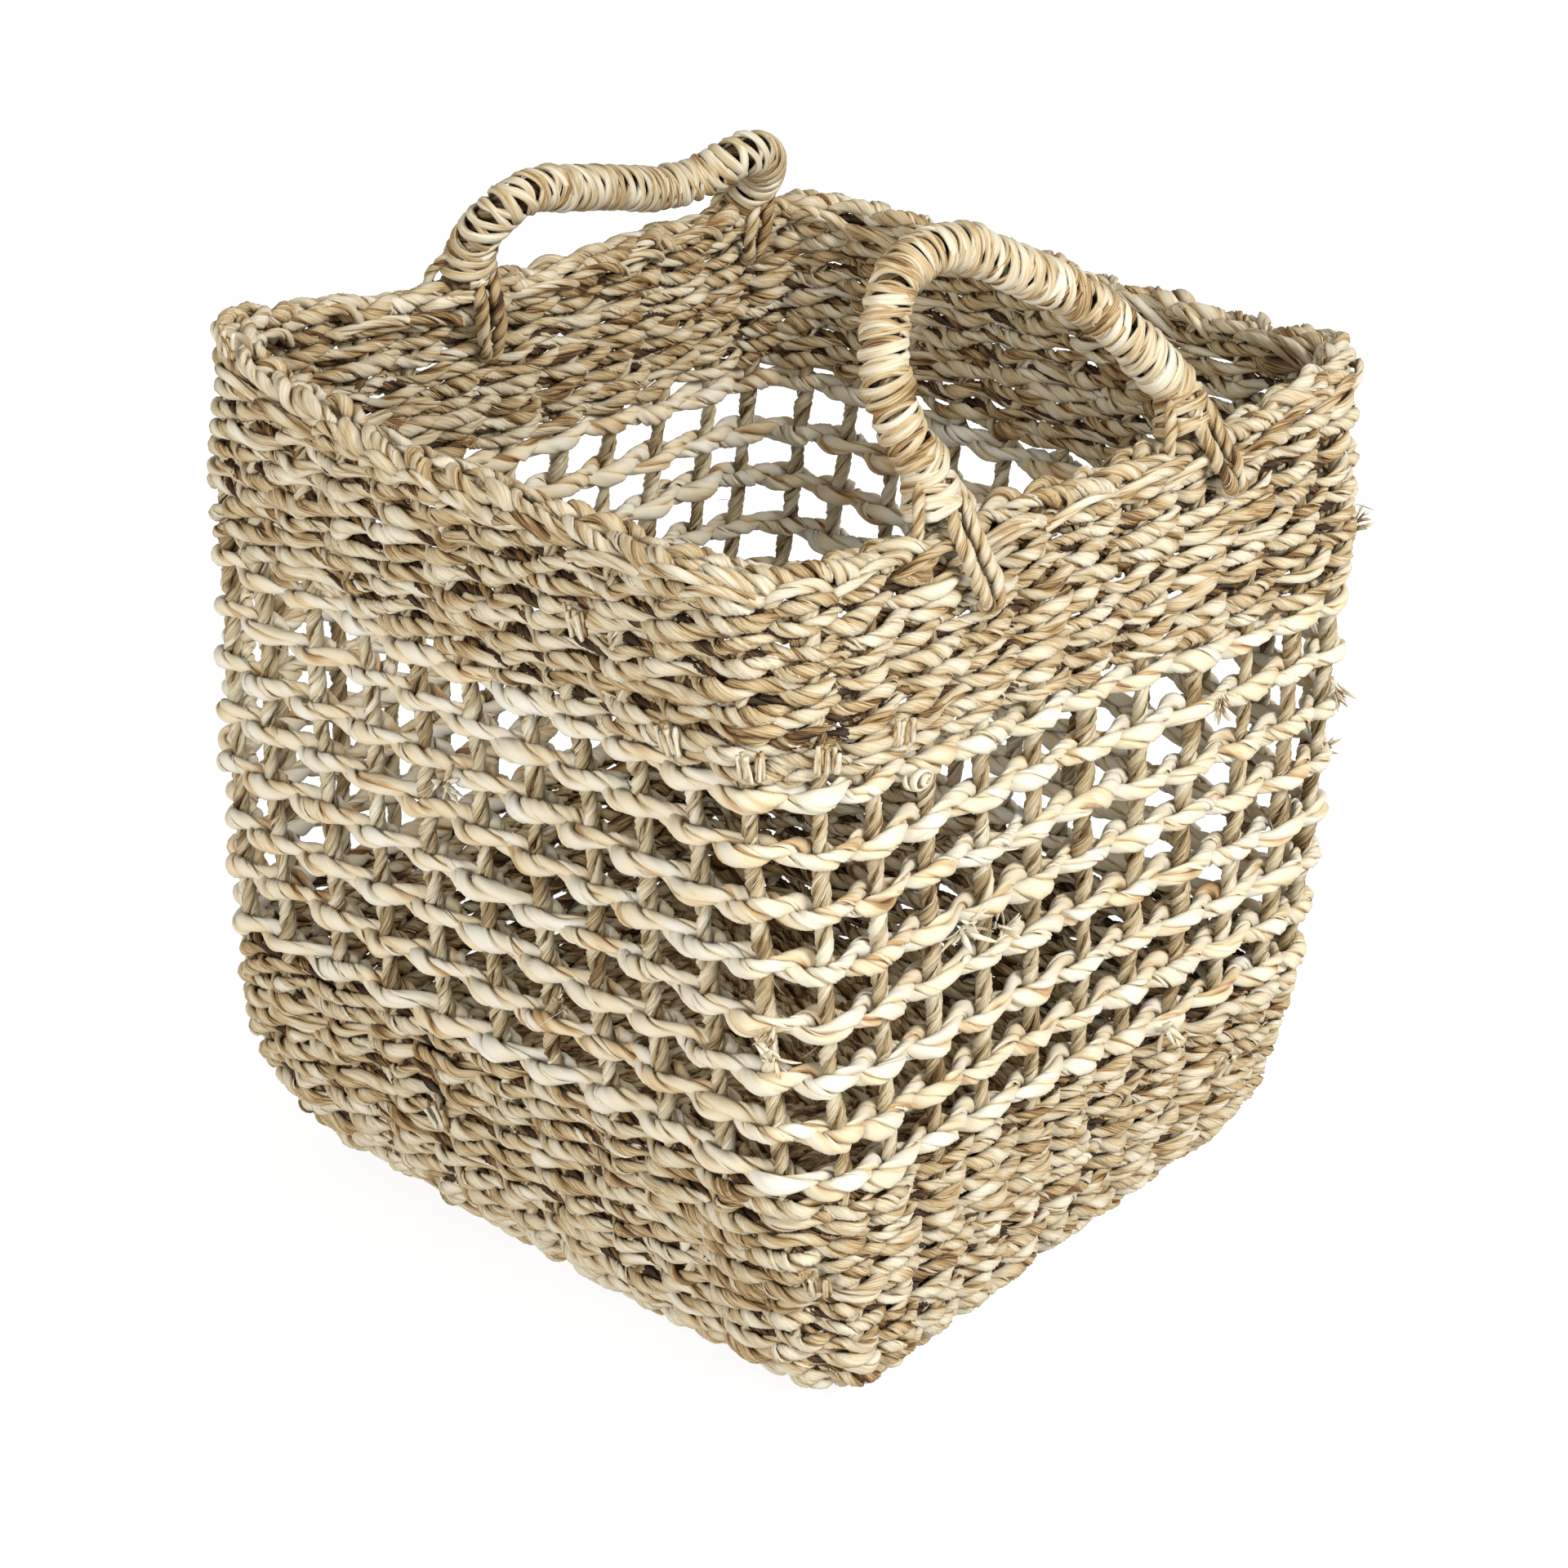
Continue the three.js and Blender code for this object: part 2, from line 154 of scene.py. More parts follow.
def wall_point(turn, level, depth):
    """A point of the wall, depth being measured inwards from its outer face.

    Depths beyond the wall's thickness draw in towards the middle of the basket.
    """
    turn, level, depth = np.broadcast_arrays(turn, level, depth)
    near = np.minimum(depth, WALL)
    x, y, nx, ny = unit_outline(turn)
    bow_x = np.where(nx > 0, RIM_BOW["right"], RIM_BOW["left"]) * nx ** 2
    bow_y = np.where(ny > 0, RIM_BOW["back"], RIM_BOW["front"]) * ny ** 2
    t = np.clip((level - BOW_START) / (RIM_LEVEL - BOW_START), 0, 1)
    share = t * t * (3 - 2 * t)
    bow = (LOW_BOW * (1 - share) + (bow_x + bow_y) * share) * (1 - (x * y) ** 2)
    stretch = np.maximum(level - CREAM_TOP, 0) / (RIM_LEVEL - CREAM_TOP)
    rise = CORNER_RISE * np.maximum(-x * y, 0) ** 2 * stretch
    half = half_widths(level)
    share = 1 - (depth - near) / HALF_WIDTHS[0, 1]
    px = (x * half[..., 0] + nx * (bow - near)) * share
    py = (y * half[..., 1] + ny * (bow - near)) * share
    twist = BASE_TWIST * np.maximum(1 - level / RIM_LEVEL, 0) ** TWIST_POWER
    c, s = np.cos(twist), np.sin(twist)
    return np.stack([c * px - s * py, s * px + c * py, level + rise], -1)


def edge_extra(turn):
    """What the two higher corners add to the radius of the rounding under the wall."""
    x, y, _, _ = unit_outline(turn)
    return np.where(x < y, EDGE_EXTRA["left"], EDGE_EXTRA["right"]) * ((1 - x * y) / 2) ** 2


def shell_point(turn, climb, depth):
    """As wall_point, but a low climb goes on round the bottom edge."""
    turn, climb, depth = np.broadcast_arrays(turn, climb, depth)
    radius = EDGE_RADIUS + edge_extra(turn)
    angle = np.clip((radius - climb) / radius, 0, math.pi / 2)
    reach = radius - depth
    on_wall = climb >= radius
    return wall_point(turn, np.where(on_wall, climb, radius - reach * np.sin(angle)),
                      np.where(on_wall, depth, radius - reach * np.cos(angle)))


# ---------------- noise

def ring_noise(turn, knots, rng):
    """Smooth noise from -1 to 1 that closes after a whole turn."""
    values = rng.uniform(-1, 1, knots)
    place = np.mod(turn, 1) * knots
    i = np.floor(place).astype(int) % knots
    t = place - np.floor(place)
    t = t * t * (3 - 2 * t)
    return values[i] * (1 - t) + values[(i + 1) % knots] * t


def line_noise(distance, spacing, rng):
    """Smooth noise from -1 to 1 along an open path."""
    knots = int(np.max(distance) / spacing) + 3
    values = rng.uniform(-1, 1, knots)
    place = distance / spacing
    i = np.floor(place).astype(int)
    t = place - i
    t = t * t * (3 - 2 * t)
    return values[i] * (1 - t) + values[i + 1] * t


# ---------------- strands

def add_object(name, data):
    thing = bpy.data.objects.new(name, data)
    bpy.context.scene.collection.objects.link(thing)
    return thing


class Weave:
    """Tubes gathered into one mesh."""

    def __init__(self):
        self.points = []
        self.fibre = []
        self.tone = []
        self.starts = []
        self.corners = []
        self.count = 0
        self.loops = 0

    def add_faces(self, faces):
        self.starts.append(self.loops + np.arange(len(faces)) * faces.shape[1])
        self.corners.append(self.count + faces.ravel())
        self.loops += faces.size

    def add_tube(self, rings, fibre, tone, closed):
        """rings is an array [ring, side, xyz]; an open tube gets flat ends."""
        count, sides = rings.shape[:2]
        i = np.arange(count if closed else count - 1)[:, None]
        j = np.arange(sides)[None, :]
        after, beside = (i + 1) % count, (j + 1) % sides
        faces = np.stack([i * sides + j, after * sides + j,
                          after * sides + beside, i * sides + beside], -1)
        self.add_faces(faces.reshape(-1, 4))
        if not closed:
            self.add_faces(np.arange(sides)[None, :])
            self.add_faces((count - 1) * sides + np.arange(sides)[None, ::-1])
        self.points.append(rings.reshape(-1, 3))
        self.fibre.append(fibre.reshape(-1, 3))
        self.tone.append(np.broadcast_to(tone, (count, sides)).ravel())
        self.count += count * sides

    def build(self, name, material):
        mesh = bpy.data.meshes.new(name)
        corners = np.concatenate(self.corners)
        starts = np.concatenate(self.starts)
        mesh.vertices.add(self.count)
        mesh.vertices.foreach_set("co", np.concatenate(self.points).astype(np.float32).ravel())
        mesh.loops.add(len(corners))
        mesh.loops.foreach_set("vertex_index", corners.astype(np.int32))
        mesh.polygons.add(len(starts))
        mesh.polygons.foreach_set("loop_start", starts.astype(np.int32))
        mesh.polygons.foreach_set("use_smooth", np.ones(len(starts), bool))
        mesh.update(calc_edges=True)
        fibre = mesh.attributes.new("fibre", "FLOAT_VECTOR", "POINT")
        fibre.data.foreach_set("vector", np.concatenate(self.fibre).astype(np.float32).ravel())
        tone = mesh.attributes.new("tone", "FLOAT", "POINT")
        tone.data.foreach_set("value", np.concatenate(self.tone).astype(np.float32))
        mesh.materials.append(material)
        return add_object(name, mesh)


def unit(vectors):
    return vectors / np.linalg.norm(vectors, axis=-1, keepdims=True)


def tangents(points, closed):
    if closed:
        return unit(np.roll(points, -1, 0) - np.roll(points, 1, 0))
    return unit(np.gradient(points, axis=0))


def lengths(points):
    steps = np.linalg.norm(np.diff(points, axis=0), axis=1)
    return np.concatenate([[0], np.cumsum(steps)])


BEAT = 13 * MM  # a strand's thickness, lay and tone change about once in this length
LEAST_BEATS = 4
TIP = 0.05  # how far along its taper a tapered end stops
TEXTURE_SHIFT = 50  # each tube starts somewhere up to this far along the leaf's pattern

# Plies, by how many a strand has: how far each is from the strand's middle, its half thickness
# and its half width, as shares of the strand's radius.
PLY_FORMS = {1: (0.0, 1.0, 1.0), 2: (0.44, 0.58, 0.86), 3: (0.5, 0.52, 0.62)}
PLY_SWELL = 0.2
PLY_STRAY = 0.4  # radians
PLY_PINCH = 1.25  # over 1, a ply's section narrows towards its edges
PLY_LUMPS = 3  # round its section
LUMP_HEIGHT = 0.07
LUMP_STRAY = 5  # radians
CREASE_WIDTH = 0.32  # radians
CREASE_STRAY = 2.2  # radians

# Tones: how much they vary along a ply and between plies. The shades below are painted shade:
# how much darker a ply is painted on its side that lies against the other plies, along its edges
# and in its crease.
PLY_MOTTLE = 0.6
PLY_TONES = 0.3
PAINTED_CONTACT_SHADE = 1.2
PAINTED_EDGE_SHADE = 0.6
EDGE_SHARPNESS = 8
PAINTED_CREASE_SHADE = 0.6

# Slivers: thin strips of leaf over the plies. Sizes are shares of the strand's radius.
SLIVER_SIDES = 6
SLIVER_LAY = 1.5  # turns for each turn of the plies
SLIVER_STRAY = 0.8  # radians
SLIVER_REACH = 0.78
SLIVER_WAVER = 0.12
SLIVER_THICKNESS = 0.24
SLIVER_WIDTH = 0.62
SLIVER_SHOWING = 0.35  # higher keeps a sliver wide for more of its length
SLIVER_LEAST = 0.02
SLIVER_MOTTLE = 0.5
SLIVER_TONES = (-0.4, 0.6)
SLIVER_LEAF = 2 * MM  # its half width in the leaf's pattern


def add_strand(weave, points, reference, radius, twist, rng, plies=2, sides=12, closed=False,
               flat=1.0, tone=0.0, groove=0.16, taper=0.0, slivers=0):
    """Twisted plies swept along the points.

    reference is a direction across the path, radius the strand's own and flat its squash in the
    direction across both. twist is the turn of the plies at each point, in radians. groove is the
    depth of each ply's crease, taper the length of a tapered end, and slivers are thin strips of
    leaf that wind over the plies.
    """
    count = len(points)
    tangent = tangents(points, closed)
    reference = np.broadcast_to(np.asarray(reference, float), points.shape)
    across = unit(reference - np.sum(reference * tangent, -1, keepdims=True) * tangent)
    out = np.cross(tangent, across)
    along = lengths(points)
    radius = np.broadcast_to(radius, count)
    tone = np.broadcast_to(tone, count)
    if taper > 0:
        ends = np.minimum(along, along[-1] - along) / taper
        radius = radius * np.sqrt(np.clip(ends, TIP, 1))
    share = along / along[-1]
    beats = max(LEAST_BEATS, int(along[-1] / BEAT))

    def noise():
        return ring_noise(share, beats, rng) if closed else line_noise(share * beats, 1.0, rng)

    def wind(around, angle, radial, sideways, leaf, shade):
        """One tube whose section, radial by sideways, turns by angle about the middle line.

        leaf is its half width in the leaf's pattern.
        """
        c, s = np.cos(angle)[:, None], np.sin(angle)[:, None]
        up = radial * c - sideways * s
        forward = (radial * s + sideways * c) * flat
        rings = points[:, None] + up[..., None] * across[:, None] + forward[..., None] * out[:, None]
        start = along[:, None] + rng.uniform(0, TEXTURE_SHIFT)
        fibre = np.broadcast_arrays(start, leaf * np.cos(around), leaf * np.sin(around))
        weave.add_tube(rings, np.stack(fibre, -1), shade, closed)

    around = np.arange(SLIVER_SIDES) * TAU / SLIVER_SIDES
    for sliver in range(slivers):
        breadth = np.clip(noise() + SLIVER_SHOWING, SLIVER_LEAST, 1)
        angle = SLIVER_LAY * twist + sliver * TAU / slivers + SLIVER_STRAY * noise()
        reach = radius * (SLIVER_REACH + SLIVER_WAVER * noise())
        radial = reach[:, None] + (SLIVER_THICKNESS * radius * breadth)[:, None] * np.cos(around)
        sideways = (SLIVER_WIDTH * radius * breadth)[:, None] * np.sin(around)
        shade = tone + SLIVER_MOTTLE * noise() + rng.uniform(*SLIVER_TONES)
        wind(around, angle, radial, sideways, SLIVER_LEAF, shade[:, None])

    offset, thickness, width = PLY_FORMS[plies]
    around = np.arange(sides) * TAU / sides
    # Painted shade: a ply is darker where it lies against the other plies, along its two edges and in
    # its crease.
    contact_shade_mask = np.clip(-np.cos(around), 0, 1) * (plies > 1)
    edge = np.abs(np.sin(around)) ** EDGE_SHARPNESS
    pinched = np.sign(np.cos(around)) * np.abs(np.cos(around)) ** PLY_PINCH
    for ply in range(plies):
        size = (radius * (1 + PLY_SWELL * noise()))[:, None]
        angle = twist + ply * TAU / plies + PLY_STRAY * noise()
        fold = CREASE_STRAY * noise() + rng.uniform(0, TAU)
        gap = np.mod(around - fold[:, None] + math.pi, TAU) - math.pi
        crease = np.exp(-(gap / CREASE_WIDTH) ** 2)
        lump = 1 + LUMP_HEIGHT * np.sin(PLY_LUMPS * around + LUMP_STRAY * noise()[:, None])
        shape = (1 - groove * crease) * lump
        radial = size * (offset + thickness * pinched * shape)
        sideways = size * width * np.sin(around) * shape
        leaf = tone + PLY_MOTTLE * noise() + PLY_TONES * rng.uniform(-1, 1)
        shade = (leaf[:, None] - PAINTED_CONTACT_SHADE * contact_shade_mask ** 2 - PAINTED_EDGE_SHADE * edge
                 - PAINTED_CREASE_SHADE * crease)
        wind(around, angle, radial, sideways, size, shade)


# ---------------- materials

def ramp(nodes, stops):
    node = nodes.new("ShaderNodeValToRGB")
    elements = node.color_ramp.elements
    while len(elements) < len(stops):
        elements.new(0.5)
    for element, (place, colour) in zip(elements, stops):
        element.position = place
        element.color = (*colour, 1)
    return node


# A leaf's pattern. Scales are per metre, along the leaf and across it.
STREAK_SCALE = (60, 1400, 1400)
PATCH_SCALE = (45, 60, 60)
STAIN_SCALE = (90, 500, 500)
PATTERN_ROUGHNESS = 0.6
MIDDLE_SHADE = 0.62  # the place among the colours of a leaf with tone 0
TONE_SHADE = 0.28  # and how far one step of tone moves it
STREAK_CONTRAST = 4
PATCH_SHADE = 1.1
STAIN_RANGE = (0.60, 0.72)  # values of the noise where a stain starts and is full
STAIN_TINT = (0.80, 0.55, 0.34)
BUMP_HEIGHT = 0.6 * MM
ROUGHNESS_SPREAD = 0.12
GLOSS = 0.25


def straw(name, stops, roughness, streak=0.22, bump=0.35, blemish=0.5):
    """Dried leaf: colour runs along stops from the darkest, reached by the painted shade of creases and
    hidden faces, to its palest faces.
    """
    material = bpy.data.materials.new(name)
    material.use_nodes = True
    nodes, links = material.node_tree.nodes, material.node_tree.links
    shader = nodes["Principled BSDF"]

    fibre = nodes.new("ShaderNodeAttribute")
    fibre.attribute_name = "fibre"
    # tone holds each strand's own tone with its painted shade added.
    tone = nodes.new("ShaderNodeAttribute")
    tone.attribute_name = "tone"

    def noise(scale, detail):
        mapping = nodes.new("ShaderNodeMapping")
        mapping.inputs["Scale"].default_value = scale
        links.new(fibre.outputs["Vector"], mapping.inputs["Vector"])
        texture = nodes.new("ShaderNodeTexNoise")
        texture.inputs["Scale"].default_value = 1
        texture.inputs["Detail"].default_value = detail
        texture.inputs["Roughness"].default_value = PATTERN_ROUGHNESS
        links.new(mapping.outputs["Vector"], texture.inputs["Vector"])
        return texture.outputs["Fac"]

    def maths(operation, a, b):
        node = nodes.new("ShaderNodeMath")
        node.operation = operation
        for socket, value in zip(node.inputs, (a, b)):
            if isinstance(value, (int, float)):
                socket.default_value = value
            else:
                links.new(value, socket)
        return node.outputs[0]

    def centred(value, contrast):
        return maths("MULTIPLY", maths("SUBTRACT", value, 0.5), contrast)

    streaks = noise(STREAK_SCALE, 3)
    patches = noise(PATCH_SCALE, 2)
    streaked = centred(streaks, STREAK_CONTRAST * streak)
    patched = centred(patches, PATCH_SHADE)
    shade = maths("ADD", maths("MULTIPLY", tone.outputs["Fac"], TONE_SHADE), MIDDLE_SHADE)
    colours = ramp(nodes, stops)
    links.new(maths("ADD", shade, maths("ADD", streaked, patched)), colours.inputs["Fac"])

    stains = nodes.new("ShaderNodeMapRange")
    stains.inputs["From Min"].default_value, stains.inputs["From Max"].default_value = STAIN_RANGE
    stains.inputs["To Max"].default_value = blemish
    links.new(noise(STAIN_SCALE, 2), stains.inputs["Value"])
    stained = nodes.new("ShaderNodeMix")
    stained.data_type = "RGBA"
    stained.blend_type = "MULTIPLY"
    stained.inputs["B"].default_value = (*STAIN_TINT, 1)
    links.new(stains.outputs["Result"], stained.inputs["Factor"])
    links.new(colours.outputs["Color"], stained.inputs["A"])
    links.new(stained.outputs["Result"], shader.inputs["Base Color"])

    height = nodes.new("ShaderNodeBump")
    height.inputs["Strength"].default_value = bump
    height.inputs["Distance"].default_value = BUMP_HEIGHT
    links.new(streaks, height.inputs["Height"])
    links.new(height.outputs["Normal"], shader.inputs["Normal"])
    rough = nodes.new("ShaderNodeMapRange")
    rough.inputs["To Min"].default_value = roughness - ROUGHNESS_SPREAD
    rough.inputs["To Max"].default_value = roughness + ROUGHNESS_SPREAD
    links.new(streaks, rough.inputs["Value"])
    links.new(rough.outputs["Result"], shader.inputs["Roughness"])
    shader.inputs["Specular IOR Level"].default_value = GLOSS
    return material


ALBEDO = 0.54  # the leaf's own share of the colours below, which are as seen in bright light


def linear(r, g, b):
    """A leaf colour from its 0 to 255 sRGB values in bright light."""
    return tuple(ALBEDO * ((v / 255 + 0.055) / 1.055) ** 2.4 for v in (r, g, b))


CREAM = straw("cream_leaf", [
    (0.0, linear(128, 88, 50)), (0.2, linear(210, 172, 120)), (0.4, linear(243, 224, 184)),
    (0.7, linear(246, 236, 213)), (1.0, linear(253, 247, 233)),
], 0.55, streak=0.08, bump=0.25, blemish=0.18)
KHAKI = straw("seagrass", [
    (0.0, linear(60, 39, 20)), (0.2, linear(136, 99, 52)), (0.4, linear(200, 172, 122)),
    (0.65, linear(226, 212, 180)), (1.0, linear(248, 239, 217)),
], 0.65, streak=0.3)
CORD = straw("seagrass_cord", [
    (0.0, linear(56, 38, 22)), (0.25, linear(132, 102, 60)), (0.5, linear(195, 173, 129)),
    (0.75, linear(226, 211, 178)), (1.0, linear(252, 243, 220)),
], 0.7, streak=0.38, bump=0.5, blemish=0.35)


# ---------------- woven pieces

def place_piece(piece, body="basket", replaces=()):
    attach(piece, body)
    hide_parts(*replaces)


# How many times each quality of a row changes on its way round the basket.
CHANGES = {"sway": 30, "stray": 60, "depth": 100, "level": 88, "radius": 70, "lay": 40, "tone": 44,
           "shadow_filler": 50}
DEPTH_STRAY = 0.7 * MM
LEVEL_STRAY = 0.6  # as a share of the row's sway
MEAN_SWELL = 0.87
UNEVENNESS = 0.22
ROW_TONES = 0.5

# A dark filler strand that closes the chinks between two rows of a band. It is painted shade: its
# dark tone stands for the shade in the chinks.
SHADOW_FILLER_RADIUS = 2.0 * MM
SHADOW_FILLER_TONE = -1.9
SHADOW_FILLER_TURNS = 70
SHADOW_FILLER_SIDES = 6


def add_row(weave, climb_at, style, rng):
    """A twined row: two strands that cross between the stakes and pass each side of them."""
    per_stake = style["per_stake"]
    turn = np.arange(STAKE_COUNT * per_stake) / (STAKE_COUNT * per_stake)

    def noise(quality):
        return ring_noise(turn, CHANGES[quality], rng)

    climb = climb_at(turn) + style["sway"] * noise("sway")
    for strand in range(2):
        phase = math.pi * (turn * STAKE_COUNT + strand) + style["stray"] * noise("stray")
        depth = WALL / 2 - style["depth"] * np.cos(phase) + DEPTH_STRAY * noise("depth")
        level = climb + style["rise"] * np.sin(phase) + LEVEL_STRAY * style["sway"] * noise("level")
        points = shell_point(turn, level, depth)
        swell = MEAN_SWELL + style["swell"] * np.cos(2 * phase)
        radius = style["radius"] * swell * (1 + UNEVENNESS * noise("radius"))
        twist = TAU * np.round(STAKE_COUNT / style["lay"]) * turn + style["loose"] * noise("lay")
        twist = twist + rng.uniform(0, TAU)
        # Painted shade: a strand is darker the nearer it lies to the inner face.
        inner = np.clip(2 * depth / WALL - 1, 0, 1)
        tone = ROW_TONES * noise("tone") - style["painted_inner_shade"] * inner
        add_strand(weave, points, (0, 0, 1), radius, twist, rng, sides=style["sides"], closed=True,
                   flat=style["flat"], tone=tone, slivers=style["slivers"])
    # A dark filler strand between two rows, painted the dark of the shade in the chinks.
    if style["shadow_filler"] > 0:
        points = shell_point(turn, climb + style["shadow_filler"], WALL / 2)
        twist = TAU * SHADOW_FILLER_TURNS * turn + noise("shadow_filler")
        add_strand(weave, points, (0, 0, 1), SHADOW_FILLER_RADIUS, twist, rng, sides=SHADOW_FILLER_SIDES,
                   closed=True, tone=SHADOW_FILLER_TONE)


# Styles of row. per_stake: points for each stake. sway: how far the row strays up and down. depth
# and rise: how far its strands swing through the wall, and up and down, as they cross. swell: how
# much they grow on its faces. lay: stakes passed in one turn of the plies, which stray from that by
# loose, in radians. painted inner shade: how much darker the inner face is painted, as shade inside
# the basket. shadow filler: how far above the row a dark filler strand runs, or 0 for none; it is
# painted the dark of the shade in the chink between two rows. stray: how uneven the crossings are,
# in radians.
CREAM_STYLE = {"per_stake": 18, "sway": 1.3 * MM, "depth": 4.3 * MM, "rise": 1.7 * MM, "swell": 0.12,
               "radius": 3.9 * MM, "lay": 0.95, "loose": 2.6, "sides": 14, "flat": 0.8, "slivers": 2,
               "painted_inner_shade": 0.4, "shadow_filler": 0.0, "stray": 0.35}
KHAKI_STYLE = {"per_stake": 16, "sway": 1.2 * MM, "depth": 4.2 * MM, "rise": 2.1 * MM, "swell": 0.14,
               "radius": 3.15 * MM, "lay": 0.8, "loose": 3.0, "sides": 10, "flat": 0.84, "slivers": 2,
               "shadow_filler": 3.6 * MM, "stray": 1.0}


def build_cream_rows():
    for row in range(1, CREAM_ROWS + 1):
        nodes = [f"cream_outer_strand_{row}", f"cream_inner_strand_{row}"]
        low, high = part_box(nodes[0])
        middle = (low.z + high.z) / 2
        weave = Weave()
        rng = np.random.default_rng(SEEDS["cream"] + row)
        add_row(weave, lambda turn: middle, CREAM_STYLE, rng)
        place_piece(weave.build(f"cream_row_{row}", CREAM), replaces=nodes)


BAND_ROWS = {"bottom": 14, "top": 9}
BAND_PITCH = {"bottom": 7.4 * MM, "top": 7.1 * MM}
BAND_START = {"bottom": CREAM_BOTTOM - 4 * MM, "top": CREAM_TOP + 4 * MM}
PAINTED_INNER_SHADE = {"bottom": 1.1, "top": 0.5}  # painted shade: the inner faces are darker, for the shade inside the basket
SQUEEZE = 0.2


def lower_climb(turn, row):
    """How high a row of the bottom band runs: the rows draw together towards a high corner."""
    squeeze = 1 - SQUEEZE * edge_extra(turn) / EDGE_EXTRA["left"]
    return BAND_START["bottom"] - row * BAND_PITCH["bottom"] * squeeze


def upper_climb(turn, row):
    return BAND_START["top"] + row * BAND_PITCH["top"]


def build_band(name, climb_at):
    style = KHAKI_STYLE | {"painted_inner_shade": PAINTED_INNER_SHADE[name]}
    nodes = [f"{name}_band_outer_weft", f"{name}_band_inner_weft"]
    for row in range(BAND_ROWS[name]):
        weave = Weave()
        rng = np.random.default_rng(SEEDS[name] + row)
        add_row(weave, lambda turn: climb_at(turn, row), style, rng)
        piece = weave.build(f"{name}_band_row_{row + 1}", KHAKI)
        place_piece(piece, replaces=nodes if row == 0 else ())


BASE_RINGS = 17
BASE_LAYERS = {
    "under": {"depth": 4.4 * MM, "level": 4.4 * MM, "tone": 0.0},
    # The upper layer's tone is painted shade: the inner floor of the basket is darkened for the shade
    # inside it.
    "upper": {"depth": 13 * MM, "level": 18.4 * MM, "tone": -0.7},
}
BASE_RADIUS = 3.2 * MM  # of a strand
BASE_SWING = 1.3 * MM  # of a strand in and out as it crosses its pair
BASE_RISE = 0.9 * MM  # and up and down
BASE_TONES = 0.4
BASE_TONE_CHANGES = 20  # in each ring
CROSSING_POINTS = 8
LEAST_LOOPS = 3  # in the smallest ring


def build_base():
    """Concentric twined rings, which start where the bottom band's rows end."""
    for name, layer in BASE_LAYERS.items():
        rng = np.random.default_rng(SEEDS[name])
        weave = Weave()
        for ring in range(BASE_RINGS):
            share = (ring + 0.5) / BASE_RINGS
            crossings = 2 * max(LEAST_LOOPS, round(STAKE_COUNT * (1 - share) / 2))
            turn = np.arange(crossings * CROSSING_POINTS) / (crossings * CROSSING_POINTS)
            radius = EDGE_RADIUS + edge_extra(turn)
            reach = radius - layer["depth"]
            last_climb = lower_climb(turn, BAND_ROWS["bottom"] - 1)
            angle = np.clip((radius - last_climb) / radius, 0, math.pi / 2)
            first = radius - reach * np.cos(angle)
            centre = WALL + HALF_WIDTHS[0, 1]
            for strand in range(2):
                phase = math.pi * (turn * crossings + strand)
                inset = first + (centre - first) * share + BASE_SWING * np.sin(phase)
                rest = np.maximum(reach ** 2 - np.maximum(radius - inset, 0) ** 2, 0)
                level = np.maximum(radius - np.sqrt(rest), layer["level"])
                points = wall_point(turn, 0.0, inset)
                points[:, 2] = level + BASE_RISE * np.cos(phase)
                twist = TAU * crossings * turn + rng.uniform(0, TAU)
                tone = layer["tone"] + BASE_TONES * ring_noise(turn, BASE_TONE_CHANGES, rng)
                add_strand(weave, points, (0, 0, 1), BASE_RADIUS, twist, rng, sides=8, closed=True,
                           tone=tone)
        place_piece(weave.build(f"base_{name}", KHAKI), replaces=[f"base_{name}_weft"])


STAKE_RADIUS = 3.1 * MM
STAKE_TOP = RIM_LEVEL - 4 * MM
STAKE_SWAY = 0.06 / STAKE_COUNT
STAKE_LAY = 24 * MM
STAKE_STRAY = 1.2  # radians
STAKE_UNEVENNESS = 0.15
STAKE_TONES = 0.5
STAKE_CHANGES = {"sway": 40 * MM, "lay": 30 * MM, "radius": 16 * MM, "tone": 25 * MM}
STAKE_STEP = 2.8 * MM
HALF_STAKE_POINTS = 120


def stake_half(turn, base_depth, rng):
    """The route of half a stake: from under the edge of the base up to the rim."""
    radius = EDGE_RADIUS + edge_extra(turn)
    climb = np.linspace(radius * (1 - math.pi / 2), STAKE_TOP, HALF_STAKE_POINTS)
    share = np.clip((radius - climb) / radius / (math.pi / 2), 0, 1)
    layer = STAKE_DEPTH + (base_depth - STAKE_DEPTH) * share
    wander = STAKE_SWAY * line_noise(climb - climb[0], STAKE_CHANGES["sway"], rng)
    return shell_point(turn + wander, climb, layer)


def resample(points, step):
    along = lengths(points)
    count = max(2, int(along[-1] / step) + 1)
    at = np.linspace(0, along[-1], count)
    return np.stack([np.interp(at, along, points[:, k]) for k in range(3)], -1)


def build_stake(kind, number, one, other, base_depth, sideways):
    """A cord up the wall at one place, over the base, and up the wall at the other."""
    rng = np.random.default_rng(SEEDS[kind] + number)
    first = stake_half(one / STAKE_COUNT, base_depth, rng)[::-1]
    second = stake_half(other / STAKE_COUNT, base_depth, rng)
    points = resample(np.concatenate([first, second]), STAKE_STEP)
    along = lengths(points)

    def noise(quality):
        return line_noise(along, STAKE_CHANGES[quality], rng)

    twist = TAU * along / STAKE_LAY + STAKE_STRAY * noise("lay")
    radius = STAKE_RADIUS * (1 + STAKE_UNEVENNESS * noise("radius"))
    weave = Weave()
    add_strand(weave, points, sideways, radius, twist, rng, sides=9, slivers=2,
               tone=STAKE_TONES * noise("tone"), groove=0.3)
    node = f"{kind}_stake_{number + 1:02d}"
    place_piece(weave.build(f"{node}_cord", CORD), replaces=[node])


